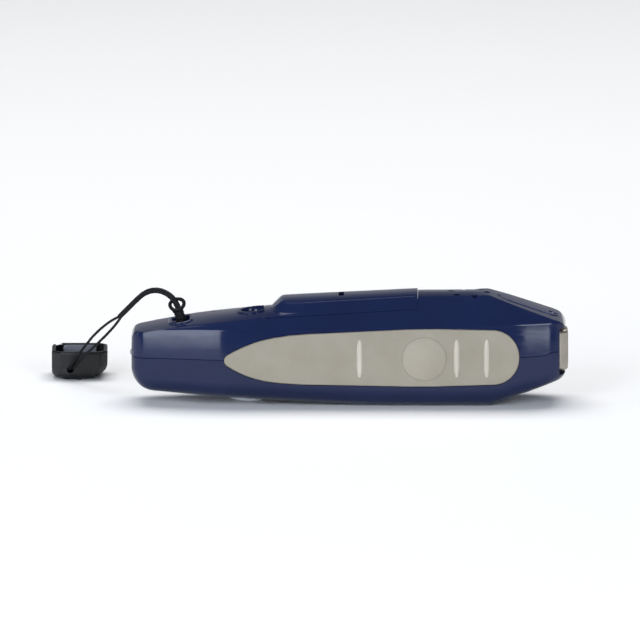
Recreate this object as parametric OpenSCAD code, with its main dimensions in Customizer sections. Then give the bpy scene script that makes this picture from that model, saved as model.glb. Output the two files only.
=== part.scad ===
// Handheld banknote detector: magnetic ink head in the nose, loupe through the tail half,
// ultraviolet lamp in the tail, two side buttons, battery hump on top, and a protective cap
// for the head that hangs on a wrist strap.
// +X runs from the tail to the magnetic head, -Y is the side with the near button, +Z is up.
// The origin is under the middle of the housing, on the surface it rests on.

/* [Housing] */
// Length of the housing, from tail to nose
body_len = 147.6; // [146.6:0.2:148.6]
// Width of the housing across its flat sides
body_w = 31; // [30.6:0.1:31.6]
// Height of the deck that the sound holes are in
deck_z = 37; // [36.8:0.1:37.4]
// Height of the deck at the strap slot
strap_deck_z = 28.2; // [28:0.1:28.5]
// Wall thickness of both shells
wall = 2; // [1.9:0.1:2.1]
// Height of the parting line between the two shells
seam_z = 17; // [16.8:0.1:17.2]

/* [Battery cover] */
// Tail end of the battery cover
cover_x1 = -28.8; // [-29:0.1:-28.6]
// Nose end of the battery cover
cover_x2 = 23.4; // [23.2:0.1:23.6]
// Gap round the cover
cover_gap = 0.15; // [0.1:0.05:0.2]
// Height that the cover lifts to clear the housing
cover_lift = 30; // [20:5:40]
// Diameter of one battery cell
cell_d = 10.5; // [10.3:0.1:10.5]
// Length of one battery cell with its button
cell_len = 44.5; // [44:0.1:44.6]

/* [Side pads and buttons] */
// Height of the pads' centre line
pad_z = 17; // [16.9:0.1:17.1]
// How far a pad stands proud of the side
pad_proud = 0.25; // [0.1:0.05:0.4]
// Diameter of the domed button
button_d = 15; // [14.6:0.1:15.2]
// Position of the button along the housing
button_x = 25.5; // [25.3:0.1:25.7]
// Travel of the button
button_travel = 0.8; // [0.5:0.1:0.8]
// Height of the button's dome
button_dome = 0.9; // [0.6:0.1:1.1]

/* [Loupe] */
// Diameter of the lens that rests on the note
lens_d = 12; // [11.8:0.1:12.2]
// Diameter of the hole the eye looks into
eyepiece_d = 8.4; // [8:0.1:8.6]
// Lean of the loupe's axis towards the nose, in degrees
loupe_lean = 4.8; // [4:0.2:5]

/* [Magnetic head] */
// Height of the head's case
head_h = 14; // [13.6:0.2:14.2]
// Width of the head's case
head_w = 12; // [11.6:0.2:12.2]
// How far the head stands out of its notch
head_proud = 3; // [2.6:0.1:3.2]

/* [Strap and cap] */
// Diameter of the strap's band
band_d = 2; // [1.6:0.1:2.2]
// Diameter of each of the strap's two strings
string_d = 0.9; // [0.8:0.05:1]
// Length of the head cap
cap_len = 19; // [18.6:0.1:19.4]
// Width of the head cap
cap_w = 17; // [16.6:0.1:17.4]
// Height of the head cap as it lies open side up
cap_h = 9.7; // [9.5:0.1:10]

/* [Hidden] */

$fn = 64;
tail_x = -body_len / 2;
nose_x = body_len / 2;
half_w = body_w / 2;
far_out = 90; // longer than any half of the housing

// Outlines are lists of corners [x, y, radius], counterclockwise.
deck_x = 47.3;                // where the nose slope starts
slope_end_z = 28.4;           // height the nose slope would reach at the nose
side_outline = [[tail_x, 4.6, 8], [-18, 1.3, 120], [10.5, 0, 60], [48.5, 0, 3],
    [nose_x, 9.3, 4.5], [nose_x, slope_end_z, 5], [deck_x, deck_z, 5],
    [cover_x2, deck_z - 0.2, 1], [cover_x1, 31.3, 1], [-53, strap_deck_z, 40],
    [tail_x, 24.6, 3.2]];
taper_x1 = -42.5;             // the plan narrows from here to the tail
taper_x2 = 56;                // and from here to the nose
tail_half_w = 8.8;
nose_half_w = 11.8;
plan_outline = [[tail_x, -tail_half_w, 5.5], [taper_x1, -half_w, 40],
    [taper_x2, -half_w, 30], [nose_x, -nose_half_w, 7], [nose_x, nose_half_w, 7],
    [taper_x2, half_w, 30], [taper_x1, half_w, 40], [tail_x, tail_half_w, 5.5]];
crease_z = 28;                // height where the flat side turns into the inclined facet
roof_z = 38.5;
roof_w = 6.2;                 // half width of the section at roof_z
section_outline = [[-half_w, 0, 6.5], [half_w, 0, 6.5], [half_w, crease_z, 1.5],
    [roof_w, roof_z, 0.4], [-roof_w, roof_z, 0.4], [-half_w, crease_z, 1.5]];

// The cover's own side outline reaches down to where its parting plane cuts it.
notch_mid_x = -2.6;           // nail notch across the cover's top
part_z1 = 30.2;               // parting plane at the cover's tail end
part_z2 = 33.2;               // parting plane at the cover's nose end
cover_outline = [[cover_x1 + cover_gap, 24, 0.3], [cover_x2 - cover_gap, 24, 0.3],
    [cover_x2 - cover_gap, deck_z + 0.2, 0.5], [-23, 35.4, 3],
    [-26.4, 31.8, 2], [cover_x1 + cover_gap, 31.3, 0.4]];

pad_outline = [[-44.6, pad_z - 0.5, 2.2], [-37.5, pad_z - 4.7, 30], [-30.5, pad_z - 7.5, 35],
    [-20, pad_z - 8.7, 80], [25, pad_z - 9.6, 150], [57.7, pad_z - 8.6, 9],
    [57.7, pad_z + 9.6, 9], [25, pad_z + 10.3, 150], [-20, pad_z + 8.2, 80],
    [-30.5, pad_z + 6.3, 40], [-37.5, pad_z + 3.4, 40]];
pad_floor = half_w - 0.9;     // depth the pad is let into the side
button_floor = half_w - 1.7;
boss_in = half_w - 3.1;
stem_in = 12.2;
stem_d = 4;

slope_deg = atan((deck_z - slope_end_z) / (nose_x - deck_x));
plate_x = 61;
plate_len = 22;
plate_w = 8.4;
plate_t = 0.8;
lamp_x = 69.2;                // signal lamp
lamp_d = 3;

notch_x = nose_x - 2.4;       // floor of the notch across the nose
notch_z1 = 9.8;
notch_z2 = 26.6;
head_x2 = notch_x + head_proud;
head_len = 12;
head_z = 18;
bulkhead = 2.8;
head_fit = 0.15;

rim_gap = 0.1;                // clearance of the locating rim inside the upper shell
rim_t = 0.9;

board_z = 14.6;
board_t = 1.2;
board_top = board_z + board_t;
board_x1 = -19;
board_x2 = 53;
board_w = 22;
post_xs = [-15, 48];
post_y = 9;

tray_x1 = -26.6;
tray_x2 = 22.2;
tray_z1 = 18.6;
tray_z2 = 25.6;
tray_w = 23.2;
cell_z = 25.8;
cell_y = 5.35;
cell_mid_x = (tray_x1 + tray_x2) / 2;
contact_t = 0.4;
contact_w = 18.8;
contact_z1 = 21.2;
contact_z2 = 29.4;
contact_room = 0.05;          // play of the contact plates in their slots
tray_wall = 1.2;              // end walls of the battery tray
eye_base = 25.3;              // lower end of the eyepiece ring, along the loupe's axis
cell_opening = 18.4;          // width of the opening the cells pass through

buzzer_x = 40.8;
buzzer_d = 13;
buzzer_h = 4;
buzzer_top = 34.3;
hole_ring_r = 6.2;
sound_hole_d = 1.7;
sound_hole_turn = -13;

loupe_x = -35;
loupe_z = 2;
eye_z = 31;                   // the eyepiece ring is cut to the deck below this height
eye_rise = 0.5;               // how far its rim stands above the deck

slot_x = -57;
slot_len = 6.2;
slot_w = 12;
slot_floor = 24;
bar_z = 26.4;
bar_d = 1.8;

tail_screw_x = -63.4;
nose_screw_x = 58;
nose_screw_y = 9.5;
boss_d = 5.4;
screw_d = 2;
screw_seat_z = 9.5;
screw_len = 12;

// Strap route, from the slot's bar over to the hole in the cap.
band_route = [[-57.2, 0, 28], [-57.6, 0, 30.5], [-58.4, 0.2, 32.8], [-59.8, 0.8, 34.9],
    [-61.8, 1.6, 36.4], [-64.4, 2.8, 37.2], [-67.2, 4.6, 36.8], [-69.9, 6.8, 35.2],
    [-72.3, 8.9, 32.7], [-74.6, 10.9, 30], [-76.4, 12.5, 27.9], [-78, 14, 26]];
string_route_a = [[-78.4, 14.2, 25.9], [-79.9, 15.8, 24.8], [-81.6, 17.6, 23.4],
    [-83.2, 19.5, 21.8], [-84.8, 21.3, 20.1], [-86.3, 23.1, 18.3], [-87.8, 24.9, 16.3],
    [-89.2, 26.6, 14.2], [-90.6, 28.3, 12.1], [-91.9, 29.8, 10], [-93.4, 31.4, 7.8],
    [-94.4, 32.7, 5.8], [-95.1, 34, 4.3], [-95.3, 35.3, 3.7], [-95.4, 37, 3.6],
    [-95.4, 38.8, 3.6]];
string_route_b = [[-77.6, 14.6, 25.6], [-78.6, 16.2, 23.9], [-79.9, 17.8, 21.9],
    [-81.3, 19.4, 20], [-82.8, 21, 18.1], [-84.4, 22.7, 16.2], [-86, 24.4, 14.3],
    [-87.7, 26, 12.4], [-89.3, 27.7, 10.6], [-90.8, 29.3, 8.8], [-92.2, 31, 7],
    [-93.2, 32.5, 5.4], [-94.1, 34, 4.3], [-94.4, 35.3, 3.7], [-94.4, 37, 3.6],
    [-94.4, 38.8, 3.6]];
cap_x = -91.8;
cap_y = 34.5;                 // near face of the cap
cap_floor = 5;
cap_wall = 2.2;
cap_hole_x = -94.9;
cap_hole_z = 3.6;

// ---- outlines and prisms ----

function unit(v) = v / norm(v);
function at2(c, i) = let (p = c[(i + len(c)) % len(c)]) [p.x, p.y];
function left_of(v) = [-v.y, v.x];
function turned(v, a) = [v.x * cos(a) - v.y * sin(a), v.x * sin(a) + v.y * cos(a)];

// Corners moved inward by d, with each radius following the move.
function inset(c, d) = [for (i = [0 : len(c) - 1])
    let (u = unit(at2(c, i) - at2(c, i - 1)), v = unit(at2(c, i + 1) - at2(c, i)),
        n = left_of(u), m = left_of(v), bend = sign(u.x * v.y - u.y * v.x),
        p = at2(c, i) + d * (n + m) / (1 + n * m))
    [p.x, p.y, max(0.1, c[i][2] - d * bend)]];

// The outline with every corner turned into an arc.
function rounded(c) = [for (i = [0 : len(c) - 1])
    let (b = at2(c, i), u = unit(b - at2(c, i - 1)), v = unit(at2(c, i + 1) - b),
        angle = acos(max(-1, min(1, u * v))), bend = sign(u.x * v.y - u.y * v.x),
        reach = c[i][2] * tan(angle / 2), spoke = -bend * c[i][2] * left_of(u),
        centre = b - u * reach - spoke, steps = max(1, ceil(angle / 15)))
    for (k = [0 : steps]) centre + turned(spoke, bend * angle * k / steps)];

// A prism along Y from an outline in X and Z, and one along X from an outline in Y and Z.
module along_y(corners, y1, y2)
    translate([0, y2, 0]) rotate([90, 0, 0]) linear_extrude(y2 - y1) polygon(rounded(corners));
module along_x(corners, x1, x2)
    translate([x1, 0, 0]) rotate([90, 0, 90]) linear_extrude(x2 - x1) polygon(rounded(corners));
module block(x1, x2, y1, y2, z1, z2)
    translate([x1, y1, z1]) cube([x2 - x1, y2 - y1, z2 - z1]);
module rod(x, y, z1, z2, d)
    translate([x, y, z1]) cylinder(d = d, h = z2 - z1);
module rod_y(x, z, y1, y2, d)
    translate([x, y2, z]) rotate([90, 0, 0]) cylinder(d = d, h = y2 - y1);

// The housing's outer form, moved inward by d.
module housing_form(d = 0) intersection() {
    along_y(inset(side_outline, d), -far_out, far_out);
    linear_extrude(roof_z) polygon(rounded(inset(plan_outline, d)));
    along_x(inset(section_outline, d), -far_out, far_out);
}

module both_sides() { children(); mirror([0, 1, 0]) children(); }

// Everything above the cover's parting plane between the cover's two ends, lowered by drop.
module above_parting(grow, drop) along_y([[cover_x1 - grow, part_z1 - drop, 0.1],
    [cover_x2 + grow, part_z2 - drop, 0.1], [cover_x2 + grow, 50, 0.1],
    [cover_x1 - grow, 50, 0.1]], -far_out, far_out);

// A frame on the nose slope, with its Z normal to the slope.
module on_slope(x) translate([x, 0, deck_z - (x - deck_x) * tan(slope_deg)])
    rotate([0, slope_deg, 0]) children();
module on_loupe() translate([loupe_x, 0, loupe_z]) rotate([0, loupe_lean, 0]) children();

module stadium(length, width, height) linear_extrude(height) union() {
    square([length - width, width], center = true);
    for (s = [-1, 1]) translate([s * (length - width) / 2, 0]) circle(d = width);
}

// Ring with a round section, lying flat.
module torus(r, section_r) rotate_extrude() translate([r, 0]) circle(section_r);

// ---- swept tubes ----

function tangents(p) = [for (i = [0 : len(p) - 1])
    unit(p[min(i + 1, len(p) - 1)] - p[max(i - 1, 0)])];
function carried(t, n) = len(n) == len(t) ? n :
    let (last = n[len(n) - 1], to = t[len(n)]) carried(t, concat(n, [unit(last - (last * to) * to)]));

// A tube of radius r along the points p.
module tube(p, r, sides = 8) {
    t = tangents(p);
    n = carried(t, [unit(cross(t[0], abs(t[0].z) < 0.9 ? [0, 0, 1] : [0, 1, 0]))]);
    points = [for (i = [0 : len(p) - 1], k = [0 : sides - 1]) let (a = 360 * k / sides)
        p[i] + r * (cos(a) * n[i] + sin(a) * cross(t[i], n[i]))];
    last = (len(p) - 1) * sides;
    walls = [for (i = [0 : len(p) - 2], k = [0 : sides - 1])
        let (a = i * sides + k, b = i * sides + (k + 1) % sides)
        each [[a, a + sides, b + sides], [a, b + sides, b]]];
    polyhedron(points, concat([[for (k = [0 : sides - 1]) k]], walls,
        [[for (k = [sides - 1 : -1 : 0]) last + k]]));
}

// ---- shells ----

module pad_recess() both_sides() {
    along_y(inset(pad_outline, -0.1), -far_out, -pad_floor);
    rod_y(button_x, pad_z, -far_out, -button_floor, button_d + 0.5);
    rod_y(button_x, pad_z, -far_out, 0, stem_d + 0.3);
}

module button_bosses() both_sides() rod_y(button_x, pad_z, -half_w + 0.5, -boss_in, 19);

// The wall that closes the housing behind the notch, with the head's opening in it.
module nose_bulkhead() intersection() {
    housing_form();
    block(notch_x - bulkhead, nose_x, -half_w, half_w, 0, roof_z);
}

module nose_cuts() {
    block(notch_x, far_out, -half_w - 1, half_w + 1, notch_z1, notch_z2);
    block(50, far_out, -head_w / 2 - head_fit, head_w / 2 + head_fit,
        head_z - head_h / 2 - head_fit, head_z + head_h / 2 + head_fit);
}

module tail_lamp_hole() translate([tail_x - 1, 0, seam_z - 0.4]) rotate([0, 90, 0])
    cylinder(d = lamp_d + 0.1, h = 6);

module shell_walls(z1, z2) intersection() {
    union() {
        difference() {
            housing_form();
            housing_form(wall);
        }
        nose_bulkhead();
        intersection() {
            housing_form(0.5);
            button_bosses();
        }
    }
    block(-far_out, far_out, -half_w - 1, half_w + 1, z1, z2);
}

module upper_shell() color([0.08, 0.11, 0.26]) difference() {
    union() {
        shell_walls(seam_z, roof_z + 1);
        intersection() {
            housing_form(0.5);
            union() {
                rod(tail_screw_x, 0, seam_z, roof_z, boss_d);
                for (y = [-nose_screw_y, nose_screw_y])
                    rod(nose_screw_x, y, seam_z, roof_z, boss_d);
                block(slot_x - 4.6, slot_x + 4.6, -7.6, 7.6, slot_floor - 1.6, roof_z);
            }
        }
    }
    above_parting(0, 0);
    block(tray_x1, tray_x2, -cell_opening / 2, cell_opening / 2, cell_z + 2, roof_z);
    pad_recess();
    nose_cuts();
    tail_lamp_hole();
    on_loupe() cylinder(d = eyepiece_d + 2.6, h = 60);
    rod(tail_screw_x, 0, 0, screw_seat_z + screw_len + 0.5, screw_d + 0.06);
    for (y = [-nose_screw_y, nose_screw_y])
        rod(nose_screw_x, y, 0, screw_seat_z + screw_len + 0.5, screw_d + 0.06);
    difference() {
        translate([slot_x, 0, slot_floor]) rotate(90) stadium(slot_w, slot_len, 12);
        translate([slot_x - 5, 0, bar_z]) rotate([0, 90, 0]) cylinder(d = bar_d, h = 10);
    }
    for (i = [0 : 5]) let (a = sound_hole_turn + 60 * i)
        rod(buzzer_x + hole_ring_r * cos(a), hole_ring_r * sin(a), deck_z - 3, deck_z + 2,
            sound_hole_d);
    on_slope(plate_x) translate([0, 0, -0.6]) stadium(plate_len + 0.2, plate_w + 0.2, 3);
    on_slope(lamp_x) translate([0, 0, -4]) cylinder(d = lamp_d + 0.1, h = 6);
}

// Rim inside the lower shell that the upper shell drops over: joined to the wall below the
// seam, and just clear of it above.
module rim_band(outer, z1, z2) intersection() {
    difference() {
        housing_form(outer);
        housing_form(wall + rim_t);
    }
    block(tail_x + 7, 56, -half_w, half_w, z1, z2);
}
module locating_rim() difference() {
    union() {
        rim_band(wall - 0.3, seam_z - 2, seam_z);
        rim_band(wall + rim_gap, seam_z - 0.5, seam_z + 1.4);
    }
    block(button_x - 10.5, button_x + 10.5, -half_w, half_w, 0, roof_z);
}

module lens_boss() on_loupe() cylinder(d = lens_d + 5.8, h = 4.2);

module lower_shell() color([0.13, 0.15, 0.28]) difference() {
    union() {
        shell_walls(-1, seam_z);
        locating_rim();
        intersection() {
            housing_form(0.5);
            union() {
                rod(tail_screw_x, 0, 0, seam_z, boss_d);
                for (y = [-nose_screw_y, nose_screw_y]) rod(nose_screw_x, y, 0, seam_z, boss_d);
                for (x = post_xs, y = [-post_y, post_y]) rod(x, y, 0, board_z, 4.2);
                lens_boss();
            }
        }
    }
    pad_recess();
    nose_cuts();
    tail_lamp_hole();
    on_loupe() translate([0, 0, -8]) cylinder(d = lens_d + 0.2, h = 20);
    on_loupe() translate([0, 0, 1.2]) cylinder(d = lens_d + 1.6, h = 20);
    on_loupe() translate([0, 0, 2.6]) cylinder(d = lens_d + 3.6, h = 20);
    translate([loupe_x + 11.6, 0, -1]) cylinder(d = lamp_d + 0.1, h = 12);
    for (x = [tail_screw_x]) screw_well(x, 0);
    for (y = [-nose_screw_y, nose_screw_y]) screw_well(nose_screw_x, y);
    for (x = post_xs, y = [-post_y, post_y]) rod(x, y, board_z - 6, board_z + 1, screw_d + 0.06);
}

module screw_well(x, y) {
    rod(x, y, -1, screw_seat_z, 4.2);
    rod(x, y, -1, seam_z + 1, screw_d + 0.3);
}

// ---- battery compartment ----

module battery_cover() color([0.1, 0.13, 0.3]) {
    difference() {
        intersection() {
            along_y(cover_outline, -far_out, far_out);
            along_x(inset(section_outline, -0.1), -far_out, far_out);
            above_parting(0, -cover_gap);
        }
        intersection() {
            along_y(inset(cover_outline, 1.6), -far_out, far_out);
            along_x(inset(section_outline, 1.6), -far_out, far_out);
        }
        block(notch_mid_x - 0.8, notch_mid_x + 0.8, 1, 8, deck_z - 1.6, roof_z);
    }
    // ribs that press on the cells
    for (x = [-13, 11]) intersection() {
        block(x, x + 1.2, -7.5, 7.5, 31.4, roof_z);
        along_y(inset(cover_outline, 0.6), -far_out, far_out);
        along_x(inset(section_outline, 0.6), -far_out, far_out);
    }
}

module battery_tray() color([0.12, 0.12, 0.14]) difference() {
    block(tray_x1, tray_x2, -tray_w / 2, tray_w / 2, tray_z1, tray_z2);
    for (y = [-cell_y, cell_y]) translate([tray_x1 + tray_wall, y, cell_z]) rotate([0, 90, 0])
        cylinder(d = cell_d + 0.2, h = tray_x2 - tray_x1 - 2 * tray_wall);
    block(tray_x1 + 8, tray_x2 - 8, -3, 3, tray_z1 - 1, tray_z2 + 1);
    // slots that hold the contact plates
    for (x = [tray_x1 + tray_wall, tray_x2 - tray_wall - contact_t - contact_room])
        block(x, x + contact_t + contact_room, -contact_w / 2 - 2 * contact_room,
            contact_w / 2 + 2 * contact_room, contact_z1 - 2 * contact_room, tray_z2 + 1);
}

// A cell with its button towards dir.
module cell(y, dir) {
    body_l = cell_len - 0.9;
    translate([cell_mid_x, y, cell_z]) rotate([0, 90 * dir, 0]) union() {
        translate([0, 0, -cell_len / 2]) cylinder(d = cell_d, h = body_l);
        translate([0, 0, cell_len / 2 - 1.2]) cylinder(d = 3.8, h = 1.2);
    }
}
module near_cell() color([0.75, 0.55, 0.2]) cell(-cell_y, 1);
module far_cell() color([0.75, 0.55, 0.2]) cell(cell_y, -1);

contact_y = 4.6;
module contact_plates() color("silver") {
    // joined plate at the tail end, single plates at the nose end
    block(tray_x1 + tray_wall, tray_x1 + tray_wall + contact_t, -contact_w / 2, contact_w / 2,
        contact_z1, contact_z2);
    for (s = [-1, 1]) block(tray_x2 - tray_wall - contact_t, tray_x2 - tray_wall,
        s * cell_y - contact_y / 2, s * cell_y + contact_y / 2, contact_z1, contact_z2);
}

// Spring from a plate at x0 to a cell's flat end at x1.
module spring(x0, x1, y) {
    turns = 3;
    steps = 10 * turns;
    tube([for (i = [0 : steps]) let (a = 360 * turns * i / steps, f = i / steps)
        [x0 + (x1 - x0) * f, y + (3.4 - 1.4 * f) * cos(a), cell_z + (3.4 - 1.4 * f) * sin(a)]],
        0.22, 6);
}
spring_gap = 0.23;
module contact_springs() color("silver") {
    spring(tray_x1 + 1.2 + contact_t + spring_gap, cell_mid_x - cell_len / 2 - spring_gap,
        -cell_y);
    spring(tray_x2 - 1.2 - contact_t - spring_gap, cell_mid_x + cell_len / 2 + spring_gap,
        cell_y);
}

// ---- side pads, buttons and switches ----

module pad() difference() {
    union() {
        along_y(pad_outline, -half_w - pad_proud, -pad_floor - 0.05);
        for (x = [3.6, 36.5, 46.7]) translate([x, -half_w - pad_proud + 0.1, pad_z + 0.2])
            rotate([90, 0, 0]) rotate(90) stadium(12.6, 1.9, 0.5);
    }
    rod_y(button_x, pad_z, -far_out, 0, button_d + 0.2);
}
module near_pad() color([0.65, 0.64, 0.6]) pad();
module far_pad() color([0.65, 0.64, 0.6]) mirror([0, 1, 0]) pad();

// Domed disc with the stem that reaches the switch.
module button() {
    face = half_w + pad_proud;
    ball_r = (pow(button_d / 2, 2) + pow(button_dome, 2)) / (2 * button_dome);
    union() {
        rod_y(button_x, pad_z, -face, -face + 1.05, button_d);
        intersection() {
            translate([button_x, -face - button_dome + ball_r, pad_z]) sphere(ball_r, $fn = 300);
            rod_y(button_x, pad_z, -face - button_dome - 1, -face + 0.5, button_d);
        }
        rod_y(button_x, pad_z, -face + 0.5, -stem_in, stem_d);
    }
}
module near_button() color([0.66, 0.65, 0.61]) button();
module far_button() color([0.66, 0.65, 0.61]) mirror([0, 1, 0]) button();

switch_y1 = 7.2;
switch_y2 = 10.9;
switch_w = 5.6;
module plunger() rod_y(button_x, pad_z, -stem_in, -switch_y2 + 1, 2);
module near_plunger() color([0.1, 0.1, 0.1]) plunger();
module far_plunger() color([0.1, 0.1, 0.1]) mirror([0, 1, 0]) plunger();

module switch() difference() {
    block(button_x - switch_w / 2, button_x + switch_w / 2, -switch_y2, -switch_y1,
        board_top, board_top + 3.4);
    rod_y(button_x, pad_z, -switch_y2 - 1, -switch_y2 + 1 + button_travel + 0.2, 2.1);
}
module near_switch() color([0.2, 0.2, 0.22]) switch();
module far_switch() color([0.2, 0.2, 0.22]) mirror([0, 1, 0]) switch();

// ---- electronics ----

module main_board() color([0.05, 0.35, 0.15]) difference() {
    block(board_x1, board_x2, -board_w / 2, board_w / 2, board_z, board_top);
    for (x = post_xs, y = [-post_y, post_y]) rod(x, y, board_z - 1, board_top + 1, 2.3);
}

module board_chips() color([0.1, 0.1, 0.1]) {
    block(-8, 0, -4, 4, board_top, board_top + 1.6);
    block(8, 13, -3, 3, board_top, board_top + 1.4);
    block(32, 38, -5, 1, board_top, board_top + 1.8);
    rod(44, 4.5, board_top, board_top + 6, 5);
}

module machine_screw(x, y, seat_z, length, up) translate([x, y, seat_z])
    rotate([up ? 0 : 180, 0, 0]) difference() {
        union() {
            translate([0, 0, -0.5]) cylinder(d = screw_d, h = length + 0.5);
            translate([0, 0, -1.4]) cylinder(d = 3.8, h = 1.4);
        }
        for (a = [0, 90]) rotate(a) block(-1.1, 1.1, -0.25, 0.25, -2, -0.7);
    }
module board_screws() color("silver")
    for (x = post_xs, y = [-post_y, post_y]) machine_screw(x, y, board_top, 5, false);
module shell_screws() color("silver") {
    machine_screw(tail_screw_x, 0, screw_seat_z, screw_len, true);
    for (y = [-nose_screw_y, nose_screw_y])
        machine_screw(nose_screw_x, y, screw_seat_z, screw_len, true);
}

module magnetic_head() color([0.75, 0.75, 0.73]) {
    head_x1 = head_x2 - head_len;
    intersection() {
        block(head_x1, head_x2, -head_w / 2, head_w / 2, head_z - head_h / 2,
            head_z + head_h / 2);
        linear_extrude(60) polygon(rounded([[head_x1, -head_w / 2, 0.5],
            [head_x2, -head_w / 2, 2.2], [head_x2, head_w / 2, 2.2],
            [head_x1, head_w / 2, 0.5]]));
    }
    for (y = [-3, 0, 3]) translate([head_x1 - 2, y, head_z - 3]) rotate([0, 90, 0])
        cylinder(d = 0.9, h = 3);
}

module head_bracket() color([0.13, 0.15, 0.28]) difference() {
    intersection() {
        block(63.4, notch_x - bulkhead - 0.1, -8.6, 8.6, 8.6, 25.9);
        housing_form(wall + 0.1);
    }
    block(50, 80, -head_w / 2 - 0.02, head_w / 2 + 0.02, head_z - head_h / 2 - 0.02,
        head_z + head_h / 2 + 0.02);
}

module head_wires() color([0.7, 0.1, 0.1]) for (y = [-3, 0, 3])
    tube([[head_x2 - head_len - 2, y, head_z - 3], [57.6, y, head_z - 2.8],
        [55.4, y, head_z - 1.6], [53, y, head_z - 1.2], [51.2, y, board_top + 0.4]], 0.4, 6);

module buzzer() color([0.1, 0.1, 0.1]) difference() {
    rod(buzzer_x, 0, buzzer_top - buzzer_h, buzzer_top, buzzer_d);
    rod(buzzer_x, 0, buzzer_top - 1, buzzer_top + 1, 2);
}
module sound_mesh() color([0.2, 0.2, 0.2])
    rod(buzzer_x, 0, buzzer_top + 0.1, buzzer_top + 0.4, buzzer_d);
module buzzer_wires() color([0.1, 0.1, 0.1]) for (y = [-2.5, 2.5])
    tube([[buzzer_x, y, buzzer_top - buzzer_h], [buzzer_x - 0.3, y, 27],
        [buzzer_x - 1, y + 0.4, 23], [buzzer_x - 0.6, y + 0.6, 19],
        [buzzer_x, y + 0.5, board_top]], 0.4, 6);

// ---- loupe ----

// Round lens whose two faces bulge by bulge_1 below z1 and bulge_2 above z2.
module lens(d, z1, z2, bulge_1, bulge_2) {
    r1 = (pow(d / 2, 2) + pow(bulge_1, 2)) / (2 * bulge_1);
    r2 = (pow(d / 2, 2) + pow(bulge_2, 2)) / (2 * bulge_2);
    intersection() {
        translate([0, 0, z1 - 5]) cylinder(d = d, h = z2 - z1 + 10);
        translate([0, 0, z1 - bulge_1 + r1]) sphere(r1, $fn = 300);
        translate([0, 0, z2 + bulge_2 - r2]) sphere(r2, $fn = 300);
    }
}
module objective_lens() color([0.85, 0.9, 0.95, 0.4]) on_loupe() union() {
    lens(lens_d, -1.2, 2.2, 0.67, 0.6);
    translate([0, 0, 1.25]) cylinder(d = lens_d + 1.3, h = 1.3);
}
module lens_retainer() color([0.1, 0.1, 0.1]) on_loupe() translate([0, 0, 2.62]) difference() {
    cylinder(d = lens_d + 3.4, h = 1.5);
    translate([0, 0, -1]) cylinder(d = 10.4, h = 4);
}
module loupe_tube() color([0.08, 0.08, 0.08]) on_loupe() difference() {
    union() {
        translate([0, 0, 4.25]) cylinder(d = 14.6, h = 3);
        translate([0, 0, 4.25]) cylinder(d = 11.6, h = 21);
    }
    translate([0, 0, 3]) cylinder(d = 10.2, h = 15);
    translate([0, 0, 3]) cylinder(d = 8.4, h = 30);
    translate([0, 0, 22.6]) cylinder(d = 9.7, h = 10);
}
module eyepiece_lens() color([0.85, 0.9, 0.95, 0.4]) on_loupe()
    lens(9.6, 23.1, 24.4, 0.5, 0.6);
module eyepiece_ring() color([0.1, 0.13, 0.3]) difference() {
    intersection() {
        on_loupe() translate([0, 0, eye_base]) cylinder(d = eyepiece_d + 2.4,
            h = eye_z - eye_base);
        translate([0, 0, eye_rise]) housing_form(0);
    }
    on_loupe() translate([0, 0, 20]) cylinder(d = eyepiece_d, h = 20);
    // flat on which the battery cover's end comes down
    block(cover_x1 - cover_gap, cover_x1 + 8, -8, 8, part_z1 - 2 * cover_gap, roof_z);
}

// ---- lamps ----

// Round lamp, tip up at z = 0, with its collar at the bottom.
module lamp(length) union() {
    translate([0, 0, -lamp_d / 2]) sphere(d = lamp_d);
    translate([0, 0, -length]) cylinder(d = lamp_d, h = length - lamp_d / 2);
}
module loupe_lamp() color([0.95, 0.95, 0.9, 0.6]) translate([loupe_x + 11.6, 0, 2.6])
    rotate([180, 0, 0]) union() {
        lamp(5.4);
        translate([0, 0, -8.6]) cylinder(d = 3.6, h = 3.3);
    }
module tail_lamp() color([0.9, 0.9, 1, 0.6]) translate([tail_x - 0.6, 0, seam_z - 0.4])
    rotate([0, -90, 0]) union() {
        lamp(5.8);
        translate([0, 0, -6.8]) cylinder(d = 3.8, h = 1);
    }
module tail_lamp_wires() color([0.1, 0.1, 0.7]) for (s = [-0.75, 0.75])
    tube([[tail_x + 6.2, 0, seam_z - 0.4 + s], [-66.9, -2, seam_z - 0.8 + s],
        [-65.6, -3.9, 15.4 + s], [-63.5, -5, 14.4 + s], [-57, -7.6 + s / 2, 13.4 + s],
        [-48, -10 + s, 13], [-38, -11 + s, 13], [-28, -11 + s, 14], [-22, -9.4 + s, 16.4],
        [-17.5, -5 + s, board_top + 0.4]], 0.4, 6);
module signal_lamp() color([0.1, 0.15, 0.4, 0.7]) on_slope(lamp_x)
    translate([0, 0, 0.5]) lamp(4.2);

module name_plate() color([0.12, 0.15, 0.32]) difference() {
    on_slope(plate_x) translate([0, 0, -0.58]) stadium(plate_len, plate_w, plate_t);
    on_slope(lamp_x) translate([0, 0, -4]) cylinder(d = lamp_d + 0.1, h = 8);
}

// ---- strap and cap ----

module anchor_loop() color([0.05, 0.05, 0.05]) translate([slot_x, 0, bar_z])
    rotate([0, 90, 0]) torus(1.55, 0.5);
module strap_band() color([0.05, 0.05, 0.05]) tube(band_route, band_d / 2);
module strap_knot() color([0.05, 0.05, 0.05]) translate(band_route[2] + [0, 0, 0.1])
    rotate([48, -14, 0]) torus(2.4, 0.6);
module strap_strings() color([0.05, 0.05, 0.05]) {
    tube(string_route_a, string_d / 2);
    tube(string_route_b, string_d / 2);
}
module string_knot() color([0.05, 0.05, 0.05])
    translate([cap_hole_x, 39.3, cap_hole_z]) sphere(1.1);

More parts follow.
